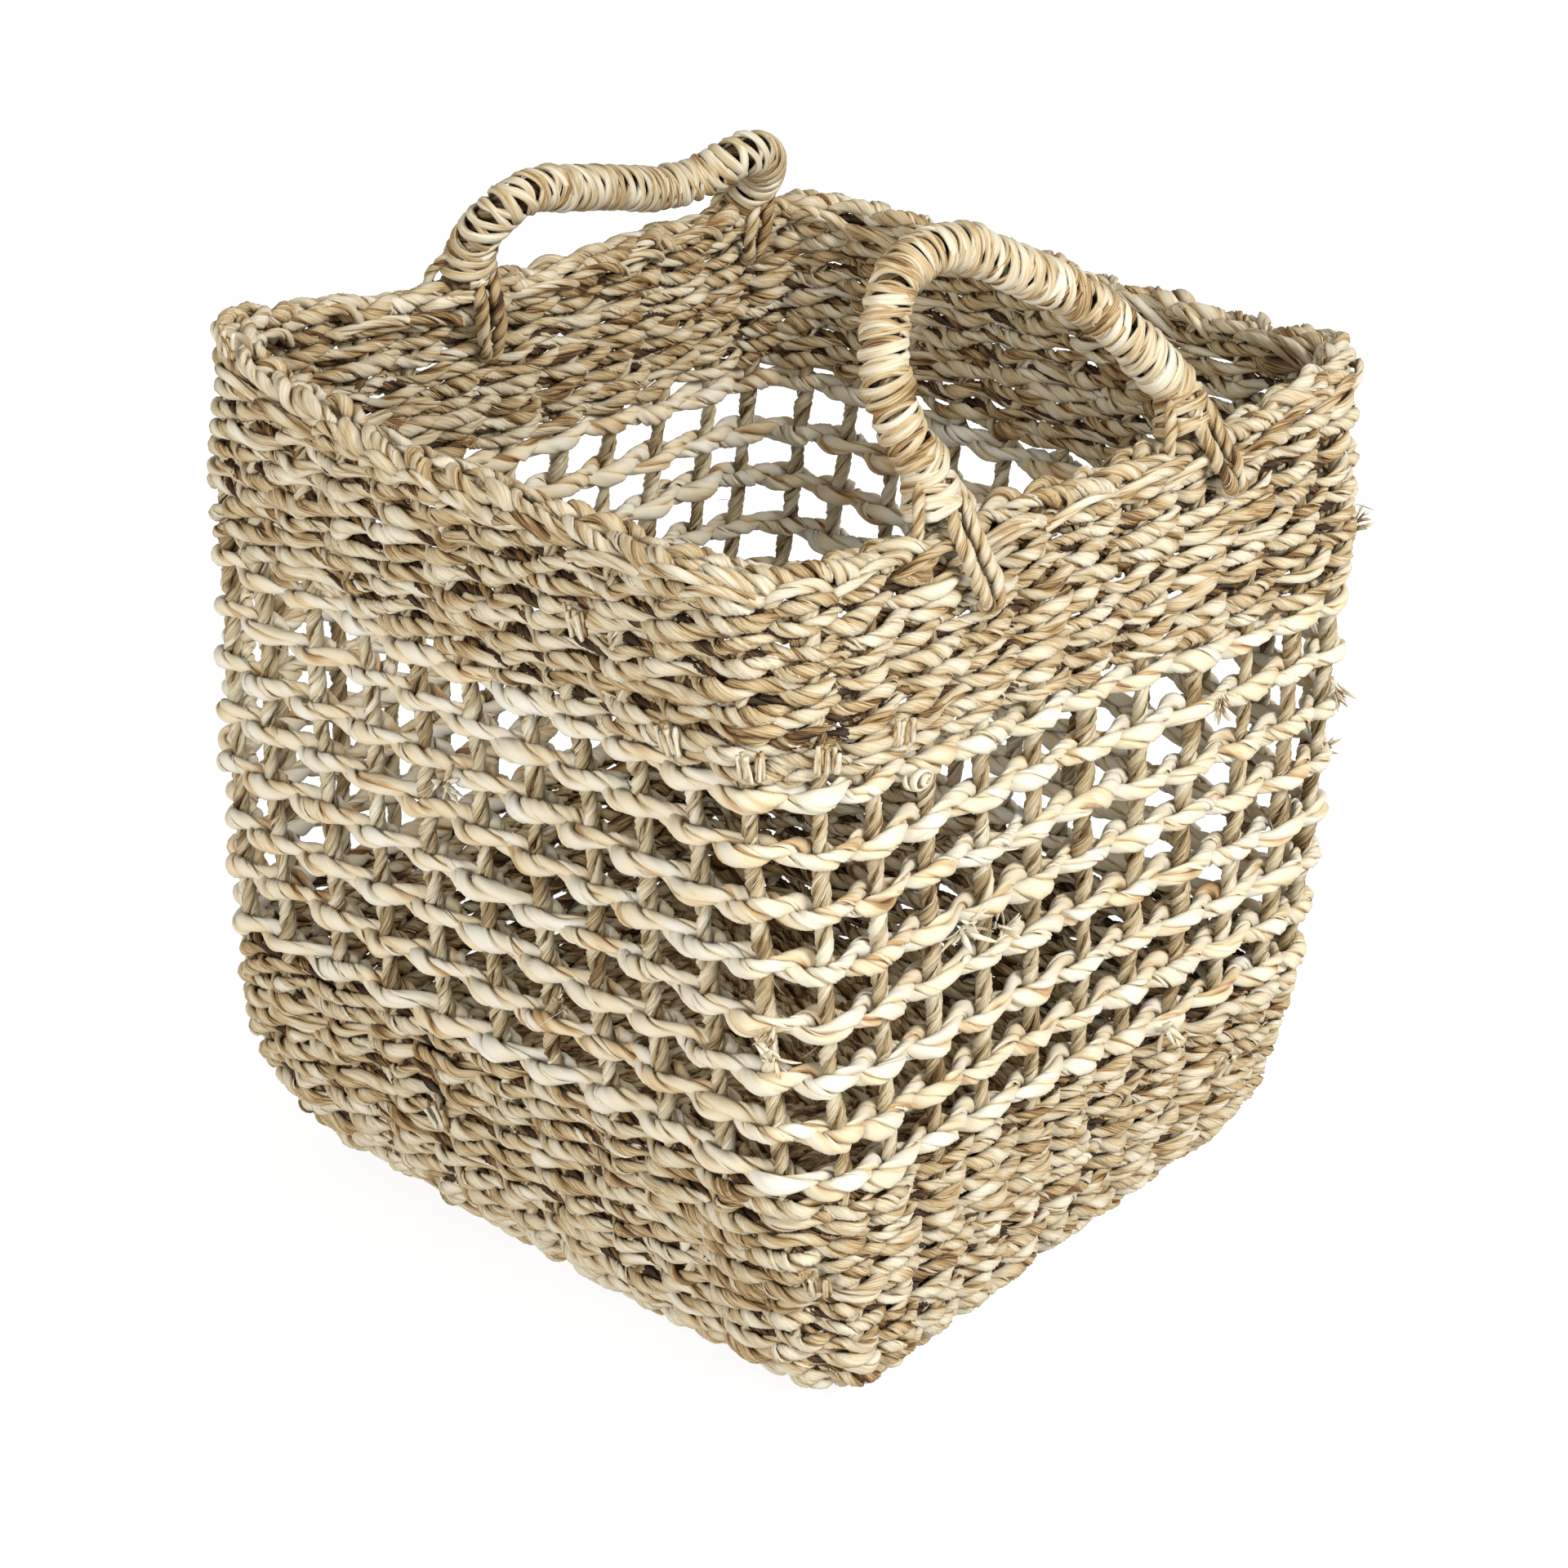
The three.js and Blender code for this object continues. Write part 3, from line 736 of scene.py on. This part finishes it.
def build_stakes():
    for number in range(STAKES_PER_WALL):
        step = number - (STAKES_PER_WALL - 1) / 2
        build_stake("cross", number, 3 * STAKES_PER_WALL - step, STAKES_PER_WALL + step, STAKE_DEPTH,
                    (0, 1, 0))
        build_stake("long", number, step, 2 * STAKES_PER_WALL - step, UPPER_STAKE_DEPTH, (1, 0, 0))


PLAIT_PERIODS = 20
PERIOD_POINTS = 40
PLAIT_LEVEL = RIM_LEVEL - 4.6 * MM
PLAIT_SWING = 4.7 * MM  # of a strand across the rim
PLAIT_RISE = 1.5 * MM
PLAIT_RADIUS = 3.2 * MM
PLAIT_TURNS = 60  # of a strand's plies, once round the rim
# How far each quality of a strand strays, and how often that changes once round the rim.
PLAIT_STRAY = {"phase": (0.7, 70), "level": (1.6 * MM, 60), "lay": (2.2, 60), "radius": (0.25, 70),
               "tone": (0.5, 50)}


def build_plait(rng):
    """Three strands along the top of the wall."""
    weave = Weave()
    count = PLAIT_PERIODS * PERIOD_POINTS
    turn = np.arange(count) / count

    def stray(quality):
        amount, changes = PLAIT_STRAY[quality]
        return amount * ring_noise(turn, changes, rng)

    for strand in range(3):
        phase = TAU * (PLAIT_PERIODS * turn + strand / 3) + stray("phase")
        level = PLAIT_LEVEL + PLAIT_RISE * np.sin(2 * phase) + stray("level")
        points = wall_point(turn, level, WALL / 2 - PLAIT_SWING * np.sin(phase))
        twist = TAU * PLAIT_TURNS * turn + stray("lay")
        radius = PLAIT_RADIUS * (1 + stray("radius"))
        add_strand(weave, points, (0, 0, 1), radius, twist, rng, sides=12, closed=True, flat=0.85,
                   tone=stray("tone"), slivers=2)
    place_piece(weave.build("rim_plait", KHAKI), replaces=["rim_braid"])


# Stake ends folded over the plait, as ranges. start and span: where each starts and how far it
# runs, in stake spacings. foot, rise and radius: how far its ends are below the rim, how high it
# arches and its radius, in mm. turns: of its plies.
FOLD_STYLE = {"start": (-0.3, 0.5), "span": (0.9, 2.1), "foot": (13, 18), "rise": (6, 12),
              "radius": (1.8, 2.7), "turns": (0.6, 2), "tone": (-0.5, 0.5)}
FOLD_PROUD = 0.4 * MM  # past the faces of the wall
FOLD_LEAD = 1.15  # over 1, an end turns back into the wall sooner than it came out
FOLD_BLUNTNESS = {"out": 0.5, "up": 0.8}  # under 1, an arch is flatter at its top
FOLD_TAPER = 6 * MM
FOLD_POINTS = 26


def build_folds(rng):
    weave = Weave()
    t = np.linspace(0, 1, FOLD_POINTS)
    reach = np.sin(math.pi * np.clip(t * FOLD_LEAD, 0, 1)) ** FOLD_BLUNTNESS["out"]
    height = np.sin(math.pi * t) ** FOLD_BLUNTNESS["up"]

    def draw(quality):
        return rng.uniform(*FOLD_STYLE[quality])

    for stake in range(STAKE_COUNT):
        for face in (-FOLD_PROUD, WALL + FOLD_PROUD):
            start = (stake + draw("start")) / STAKE_COUNT
            span = draw("span") / STAKE_COUNT
            depth = WALL / 2 + (face - WALL / 2) * reach
            level = RIM_LEVEL - draw("foot") * MM + draw("rise") * MM * height
            points = wall_point(start + span * t, level, depth)
            twist = TAU * t * draw("turns") + rng.uniform(0, TAU)
            radius = draw("radius") * MM
            add_strand(weave, points, (0, 0, 1), radius, twist, rng, sides=10, taper=FOLD_TAPER,
                       flat=0.8, tone=draw("tone"), slivers=1)
    place_piece(weave.build("rim_folds", KHAKI))


def build_rim():
    """A plait of three strands, with the stakes' ends folded down over it."""
    rng = np.random.default_rng(SEEDS["rim"])
    build_plait(rng)
    build_folds(rng)


# ---------------- loose ends

# Where single ends show, as [stakes round the wall, level in mm]: cut bundles of straw, frayed
# tufts, cream frays and cream knots.
STUBS = [[-6.99, 257], [-5.86, 256], [-4.98, 258], [-3.74, 260], [-5.59, 61], [-15.3, 322],
         [-8.4, 286], [-12.2, 60], [3.2, 66], [12.6, 288], [24.8, 262]]
TUFTS = [[-5.81, 160], [2.34, 223], [-9.6, 130], [4.9, 208], [5.5, 262], [5.9, 172], [12.3, 222],
         [21.0, 150]]
FRAYS = [[-1.95, 173], [-5.84, 149], [1.69, 98], [-2.58, 178], [-11.4, 196], [15.2, 140]]
KNOTS = [[-3.45, 240], [18.4, 200]]

# Styles of loose fibre, with sizes in mm. curl: how far each bends. straws: how many make a stub or
# tuft. out: how far they set out from the wall, and fan how much their ways vary. along, up and
# sunk: how far their starts are spread along the wall and up it, and sunk into it. pitch: from one
# straw of a stub to the next. down and proud: how far below its place and off the wall it starts.
TUFT_STYLE = {"straws": 14, "out": 0.45, "along": 2, "up": 2, "sunk": 2, "fan": 0.35, "curl": 0.4,
              "length": (5, 8), "radius": (0.3, 0.8), "flat": 0.6, "tone": (-0.6, 0.8), "taper": 3}
FRAY_STYLE = {"straws": 12, "out": 0.4, "along": 3, "up": 2, "sunk": 1, "fan": 0.6, "curl": 0.7,
              "length": (5, 8), "radius": (0.6, 1.5), "flat": 0.4, "tone": (-0.5, 0.6), "taper": 3}
STUB_STYLE = {"straws": 7, "pitch": (1.1, 1.4), "down": (4, 6), "proud": (-1, 1), "out": 0.2,
              "fan": 0.12, "curl": 0.1, "length": (8, 11), "radius": (0.8, 1.2), "flat": 0.8,
              "tone": (-0.9, 1.0), "taper": 0}
HAIR_STYLE = {"level": (20, 318), "out": (0.1, 0.8), "sunk": 1, "curl": 0.6, "length": (4, 10),
              "radius": (0.10, 0.22), "flat": 1.0, "tone": (-1.0, 0.8), "taper": 6}
HAIRS = 70  # single fibres all over the outside

# A knot: one leaf rolled up into a flat spiral, which sinks back into the wall at its outer end.
KNOT_TURNS = 2.6
KNOT_REACH = [0.8, 5.4]  # from the middle of the spiral, in mm, at its two ends
KNOT_LIFT = [2.8, -0.6]  # off the wall, in mm, at its two ends
KNOT_STRAY = {"reach": 0.9, "lift": 0.8, "twist": 0.9, "tone": 0.7}
KNOT_RADIUS = 1.9 * MM
KNOT_HEIGHT = 0.8  # as a share of its width


def wall_frame(stakes, level):
    """A place on the outer face, with the directions along the wall, up it and away from it."""
    step = 1e-3
    turn = stakes / STAKE_COUNT + np.array([0, step, 0])
    place, beside, above = shell_point(turn, level * MM + np.array([0, 0, step]), 0.0)
    along, up = unit(beside - place), unit(above - place)
    return place, along, up, np.cross(along, up)


def add_fibre(weave, start, way, style, rng):
    """A short straw that sets out along way and curls."""
    curl = rng.uniform(-style["curl"], style["curl"], 3)
    length = rng.uniform(*style["length"]) * MM
    radius = rng.uniform(*style["radius"]) * MM
    tone = rng.uniform(*style["tone"])
    t = np.linspace(0, 1, 8)[:, None]
    points = start + length * (t * way + t * t * curl)
    across = np.cross(way, curl) + 1e-3  # never zero, even where a straw is straight
    twist = TAU * t[:, 0] * rng.uniform(0, 0.4)
    add_strand(weave, points, across, radius, twist, rng, plies=1, sides=6, flat=style["flat"],
               tone=tone, taper=style["taper"] * MM)


def add_stub(weave, place, along, up, out, rng):
    """A cut bundle of straws, side by side."""
    style = STUB_STYLE
    for number in range(style["straws"]):
        shift = (number - style["straws"] // 2) * rng.uniform(*style["pitch"])
        start = (place + shift * MM * along - rng.uniform(*style["down"]) * MM * up
                 + rng.uniform(*style["proud"]) * MM * out)
        way = unit(up + style["fan"] * rng.uniform(-1, 1) * along + style["out"] * out)
        add_fibre(weave, start, way, style, rng)


def add_tuft(weave, place, along, up, out, style, rng):
    main = style["out"] * out + rng.uniform(-1, 1) * along + rng.uniform(-0.8, 0.8) * up
    for _ in range(style["straws"]):
        start = (place + rng.uniform(-style["along"], style["along"]) * MM * along
                 + rng.uniform(-style["up"], style["up"]) * MM * up - style["sunk"] * MM * out)
        way = unit(main + rng.uniform(-style["fan"], style["fan"], 3))
        add_fibre(weave, start, way, style, rng)


def add_hair(weave, rng):
    style = HAIR_STYLE
    stakes = rng.uniform(0, STAKE_COUNT)
    place, along, up, out = wall_frame(stakes, rng.uniform(*style["level"]))
    way = unit(out * rng.uniform(*style["out"]) + rng.uniform(-1, 1) * along + rng.uniform(-1, 1) * up)
    add_fibre(weave, place - style["sunk"] * MM * out, way, style, rng)


def add_knot(weave, place, along, up, out, rng):
    t = np.linspace(0, 1, 90)

    def stray(quality, changes=9):
        return KNOT_STRAY[quality] * line_noise(t * changes, 1.0, rng)

    angle = -TAU * KNOT_TURNS * t
    reach = (KNOT_REACH[0] + (KNOT_REACH[1] - KNOT_REACH[0]) * t + stray("reach")) * MM
    lift = (KNOT_LIFT[0] + (KNOT_LIFT[1] - KNOT_LIFT[0]) * t + stray("lift", 7)) * MM
    points = (place + np.outer(reach * np.cos(angle), along)
              + np.outer(KNOT_HEIGHT * reach * np.sin(angle), up) + np.outer(lift, out))
    add_strand(weave, points, out, KNOT_RADIUS, stray("twist"), rng, plies=1, sides=8, flat=0.4,
               tone=stray("tone"), taper=4 * MM)


def build_ends():
    rng = np.random.default_rng(SEEDS["ends"])
    straw_ends, cream_ends = Weave(), Weave()
    for stakes, level in STUBS:
        add_stub(straw_ends, *wall_frame(stakes, level), rng)
    for stakes, level in TUFTS:
        add_tuft(straw_ends, *wall_frame(stakes, level), TUFT_STYLE, rng)
    for stakes, level in FRAYS:
        add_tuft(cream_ends, *wall_frame(stakes, level), FRAY_STYLE, rng)
    for stakes, level in KNOTS:
        add_knot(cream_ends, *wall_frame(stakes, level), rng)
    for _ in range(HAIRS):
        add_hair(straw_ends, rng)
    place_piece(straw_ends.build("loose_ends", KHAKI))
    place_piece(cream_ends.build("cream_ends", CREAM))


# ---------------- handles

def smooth_curve(corners, step):
    """A centripetal Catmull-Rom curve through the corners, in even steps."""
    p = np.asarray(corners, float)
    p = np.vstack([2 * p[0] - p[1], p, 2 * p[-1] - p[-2]])
    pieces = []
    t = np.linspace(0, 1, 30, endpoint=False)[:, None]
    for a, b, c, d in zip(p, p[1:], p[2:], p[3:]):
        ab, bc, cd = (np.linalg.norm(v) ** 0.5 for v in (b - a, c - b, d - c))
        start = ((b - a) / ab - (c - a) / (ab + bc) + (c - b) / bc) * bc
        end = ((c - b) / bc - (d - b) / (bc + cd) + (d - c) / cd) * bc
        pieces.append((2 * t ** 3 - 3 * t ** 2 + 1) * b + (t ** 3 - 2 * t ** 2 + t) * start
                      + (3 * t ** 2 - 2 * t ** 3) * c + (t ** 3 - t ** 2) * end)
    pieces.append(p[-2][None])
    return resample(np.vstack(pieces), step)


def wall_turn(handle, stakes):
    return (stakes if handle["side"] == 0 else 2 * STAKES_PER_WALL - stakes) / STAKE_COUNT


# Painted shade: the core is darkened so that the slits between the turns of the wrap look shaded.
PAINTED_CORE_SHADE = -1.3
CORE_LAY = 30 * MM
CORE_PROUD = 0.6 * MM  # the core's plies stand this far past its radius in the CAD part
WRAP_PITCH = 5.2 * MM
WRAP_WIDTH = 1.85 * MM
WRAP_SLOPE = 2.4 * MM
WRAP_SUNK = [1.5 * MM, 1.1 * MM]  # of each leaf's middle below the grip's surface
TURN_POINTS = 26
# How far a coil strays, and over how many of its turns: its angle, lean and twist in radians, its
# slope and width as shares, its place as a share of the pitch, its lift in metres.
COIL_STRAY = {"angle": (0.6, 1.5), "lean": (1.2, 5), "slope": (0.4, 3), "place": (0.25, 0.8),
              "lift": (0.45 * MM, 0.7), "twist": (0.5, 1.0), "width": (0.25, 0.9), "tone": (0.7, 1.0)}
COIL_TONE = 0.05


def coil(weave, path, radius, slope, rng, flare):
    """A leaf wound round the whole path.

    slope is how far each turn leans along the path, to one side of it and back, and flare what
    share the radius has grown by at the end.
    """
    along = lengths(path)
    turns = along[-1] / WRAP_PITCH
    t = np.linspace(0, 1, int(turns * TURN_POINTS))
    wound = t * turns

    def stray(quality):
        amount, turns_each = COIL_STRAY[quality]
        return amount * line_noise(wound, turns_each, rng)

    angle = TAU * wound + stray("angle")
    lean = angle + stray("lean")
    distance = along[-1] * t + slope * (1 + stray("slope")) * np.sin(lean) + WRAP_PITCH * stray("place")
    distance = np.clip(distance, 0, along[-1])
    ways = tangents(path, False)
    centre = np.stack([np.interp(distance, along, path[:, k]) for k in range(3)], -1)
    way = unit(np.stack([np.interp(distance, along, ways[:, k]) for k in range(3)], -1))
    plane = np.broadcast_to([0.0, 1.0, 0.0], way.shape)
    side = unit(plane - np.sum(plane * way, -1, keepdims=True) * way)
    other = np.cross(way, side)
    lift = radius * (1 + flare * t) + stray("lift")
    points = centre + lift[:, None] * (np.cos(angle)[:, None] * side + np.sin(angle)[:, None] * other)
    twist = stray("twist")
    width = WRAP_WIDTH * (1 + stray("width"))
    add_strand(weave, points, way, width, twist, rng, plies=1, sides=8, flat=0.55,
               tone=COIL_TONE + stray("tone"), groove=0.3)


def add_wrap(weave, path, rng, flare=0.0):
    """Two leaves wound side by side, which lean against each other."""
    for slope, sunk in zip((WRAP_SLOPE, -WRAP_SLOPE), WRAP_SUNK):
        coil(weave, path, GRIP_RADIUS - sunk, slope, rng, flare)


def add_core(weave, path, radius, rng):
    add_strand(weave, path, (0, 1, 0), radius, TAU * lengths(path) / CORE_LAY, rng, plies=3, sides=10,
               tone=PAINTED_CORE_SHADE)


def build_handle(name):
    handle = HANDLES[name]
    outward = -1 if handle["side"] == 0 else 1
    body = f"{name}_handle"
    feet = [wall_point(wall_turn(handle, foot), RIM_LEVEL, WALL / 2) for foot in handle["feet"]]
    axis = np.mean(feet, 0)
    axis[2] = AXIS_LEVEL
    lean = outward * math.radians(handle["lean"])
    arch = smooth_curve(np.array([[along, 0, up] for along, up in handle["arch"]]) * MM, 1 * MM)
    turned = np.stack([arch[:, 0], -math.sin(lean) * arch[:, 2], math.cos(lean) * arch[:, 2]], -1)
    path = turned + axis

    rng = np.random.default_rng(SEEDS["handle"] + handle["side"])
    core = Weave()
    add_core(core, path, CORE_RADIUS + CORE_PROUD, rng)
    place_piece(core.build(f"{name}_core", CORD), body, [f"{name}_handle_core_rope"])

    wrap = Weave()
    add_wrap(wrap, path, rng)
    place_piece(wrap.build(f"{name}_wrap", KHAKI), body, [f"{name}_handle_grip_wrap"])

    for hand, end, route in (("left", 0, path), ("right", 1, path[::-1])):
        hole = wall_turn(handle, handle["holes"][end])
        build_foot(name, hand, route, hole, rng)
        build_lashing(name, hand, route[0], hole, handle["drops"][end] * MM)


FOOT_OVERLAP = 7 * MM  # of the foot's wrap with the grip's
FOOT_LEVEL = RIM_LEVEL + 3 * MM
FOOT_FLARE = 0.22
FOOT_SHIFT = -1 * MM  # along the wall, from the grip's end to the foot's
FOOT_CORE_RADIUS = GRIP_RADIUS - 1.6 * MM


def blend_to_handle(piece):
    """Bakes the piece's placement into its mesh."""
    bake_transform(piece)


def build_foot(name, hand, route, hole, rng):
    """The wrap goes on below the stiff grip, nearly to the rim. route starts at this foot."""
    upper = route[lengths(route) < FOOT_OVERLAP][::-1]
    rim = wall_point(hole, RIM_LEVEL, WALL / 2)
    base = np.array([route[0][0] + FOOT_SHIFT, rim[1], FOOT_LEVEL])
    path = smooth_curve(np.vstack([upper[::3], base]), 0.8 * MM)
    weave = Weave()
    add_core(weave, path, FOOT_CORE_RADIUS, rng)
    add_wrap(weave, path, rng, FOOT_FLARE)
    piece = weave.build(f"{name}_{hand}_foot_wrap", KHAKI)
    blend_to_handle(piece)


# The two cords of a lashing, as how far along the wall each is from the middle of its hole at the
# top, halfway and at the hole, in mm. Both go down both faces and through the wall.
LASHING_CORDS = [[-1.5, -3.8, -1.8], [5.5, 3.6, 1.8]]
LASHING_RADIUS = 2.5 * MM
LASHING_LAY = 15 * MM
LASHING_STRAY = 0.8  # radians
LASHING_TONES = 0.4
LASHING_TONE = -0.3
LASHING_CHANGES = {"lay": 12 * MM, "tone": 15 * MM}
LASHING_PROUD = WALL / 2 + 2.8 * MM  # from the middle of the wall to a cord's on its face
GATHER = 0.6  # cords and ties draw together to this share of their spread under the grip
FOOT_PULL = 0.8  # share of the way from the hole's line to the foot's that a cord's top is pulled

# Short ties over the rim, as how far along the wall they are from the foot, in mm.
TIE_SHIFTS = [-9.5, 8.5]
TIE_RADIUS = 2.0 * MM
TIE_LAY = 12 * MM
TIE_TONE = -0.2


def lashing_leg(top, turn, drop, face, cord):
    """One side of a lashing cord, from the grip's foot down to the hole. face is 1 for outside."""
    upper, middle, lower = cord
    hole_level = RIM_LEVEL - drop
    rim = wall_point(turn, RIM_LEVEL, WALL / 2)
    foot_line = FOOT_PULL * top[0] + (1 - FOOT_PULL) * rim[0]
    outward = np.sign(rim[1])
    leg = [top + np.array([GATHER * upper, face * outward * 3.4, 2]) * MM]
    for level, share, shift in ((RIM_LEVEL + 3 * MM, 0.75, upper), (RIM_LEVEL - 6 * MM, 1.0, middle),
                                (hole_level + 8 * MM, 1.0, middle), (hole_level, 0.8, lower)):
        spot = wall_point(turn, level, WALL / 2 - face * LASHING_PROUD * share)
        spot[0] += (foot_line - spot[0]) * (level - hole_level) / drop + shift * MM
        leg.append(spot)
    return leg


def build_lashing(name, hand, top, turn, drop):
    """Cords from the handle's core, down both faces and through the wall, and short ties.

    top is the foot of the grip, turn the place of the hole and drop how far under the rim it is.
    """
    rng = np.random.default_rng(SEEDS[hand] + HANDLES[name]["side"])
    weave = Weave()
    through = wall_point(turn, RIM_LEVEL - drop - 2 * MM, WALL / 2)
    for cord in LASHING_CORDS:
        inner = lashing_leg(top, turn, drop, -1, cord)
        outer = lashing_leg(top, turn, drop, 1, cord)
        points = smooth_curve(inner + [through] + outer[::-1], 1.0 * MM)
        along = lengths(points)
        stray = LASHING_STRAY * line_noise(along, LASHING_CHANGES["lay"], rng)
        twist = TAU * along / LASHING_LAY + stray
        tone = LASHING_TONES * line_noise(along, LASHING_CHANGES["tone"], rng) + LASHING_TONE
        add_strand(weave, points, (1, 0, 0), LASHING_RADIUS, twist, rng, sides=10, slivers=1, tone=tone)
    rim = wall_point(turn, RIM_LEVEL, WALL / 2)
    outward = np.sign(rim[1])
    for shift in TIE_SHIFTS:
        start = top + np.array([GATHER * shift, outward * 2, 0]) * MM
        end = np.array([top[0] + 1.1 * shift * MM, rim[1] + outward * 3 * MM, RIM_LEVEL - 9 * MM])
        bulge = (start + end) / 2 + np.array([0.5 * shift, outward * 5, 0]) * MM
        points = smooth_curve([start, bulge, end], 1.0 * MM)
        add_strand(weave, points, (1, 0, 0), TIE_RADIUS, TAU * lengths(points) / TIE_LAY, rng, sides=8,
                   tone=TIE_TONE)
    piece = weave.build(f"{name}_{hand}_lashing_cords", KHAKI)
    blend_to_handle(piece)
    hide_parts(f"{name}_handle_{hand}_lashing")


# ---------------- studio

FLOOR_REACH = 6.0
FLOOR_GREY = 0.2
FLOOR_GLOW = 0.86  # with the lamps' light on its grey, the floor is just white
WORLD_LIGHT = 0.62
LIT_POINT = (0, 0, 0.15)  # that the lamps face
KEY = {"place": (0.5, -2.5, 2.0), "size": 1.1, "power": 136}
FILL = {"place": (-2.9, -0.9, 0.8), "size": 1.2, "power": 88}


def build_floor():
    r = FLOOR_REACH
    floor_mesh = bpy.data.meshes.new("floor")
    floor_mesh.from_pydata([(-r, -r, 0), (r, -r, 0), (r, r, 0), (-r, r, 0)], [], [(0, 1, 2, 3)])
    floor = add_object("floor", floor_mesh)
    floor.location.z = cad_low.z
    paint = bpy.data.materials.new("floor")
    paint.use_nodes = True
    shader = paint.node_tree.nodes["Principled BSDF"]
    shader.inputs["Base Color"].default_value = (FLOOR_GREY, FLOOR_GREY, FLOOR_GREY, 1)
    shader.inputs["Roughness"].default_value = 0.9
    shader.inputs["Specular IOR Level"].default_value = 0.0
    shader.inputs["Emission Color"].default_value = (1, 1, 1, 1)
    shader.inputs["Emission Strength"].default_value = FLOOR_GLOW
    floor_mesh.materials.append(paint)


def add_softbox(name, place, size, power):
    light = bpy.data.lights.new(name, "AREA")
    light.shape = "SQUARE"
    light.size = size
    light.energy = power
    lamp = add_object(name, light)
    lamp.location = place
    lamp.rotation_mode = "QUATERNION"
    lamp.rotation_quaternion = (Vector(LIT_POINT) - Vector(place)).to_track_quat("-Z", "Y")


def build_studio():
    build_floor()
    world = bpy.data.worlds.new("studio")
    bpy.context.scene.world = world
    world.use_nodes = True
    background = world.node_tree.nodes["Background"]
    background.inputs["Color"].default_value = (1, 1, 1, 1)
    background.inputs["Strength"].default_value = WORLD_LIGHT
    add_softbox("key", **KEY)
    add_softbox("fill", **FILL)
    bpy.context.scene.view_settings.view_transform = "Standard"


CAMERA_PLACE = (-1.0618, -1.0513, 0.8468)
CAMERA_AZIMUTH = math.radians(-45.446)  # round from the front wall, towards the left one
CAMERA_ELEVATION = math.radians(24.838)
CAMERA_ROLL = 0.0390  # radians
CAMERA_LENS = 103.06
SENSOR_WIDTH = 36


def build_camera():
    """Seen from over the front left corner."""
    out = math.cos(CAMERA_ELEVATION)
    back = Vector((math.sin(CAMERA_AZIMUTH) * out, -math.cos(CAMERA_AZIMUTH) * out,
                   math.sin(CAMERA_ELEVATION)))
    side = Vector((0, 0, 1)).cross(back).normalized()
    over = back.cross(side)
    x = side * math.cos(CAMERA_ROLL) + over * math.sin(CAMERA_ROLL)
    y = over * math.cos(CAMERA_ROLL) - side * math.sin(CAMERA_ROLL)
    camera = bpy.data.cameras.new("camera")
    camera.sensor_width = SENSOR_WIDTH
    camera.lens = CAMERA_LENS
    camera.clip_start = 0.05
    camera.clip_end = 50
    holder = add_object("camera", camera)
    rotation = Matrix((x, y, back)).transposed().to_4x4()
    holder.matrix_world = Matrix.Translation(CAMERA_PLACE) @ rotation
    bpy.context.scene.camera = holder


build_stakes()
build_base()
build_cream_rows()
build_band("bottom", lower_climb)
build_band("top", upper_climb)
build_rim()
build_ends()
build_handle("front")
build_handle("back")
build_studio()
build_camera()
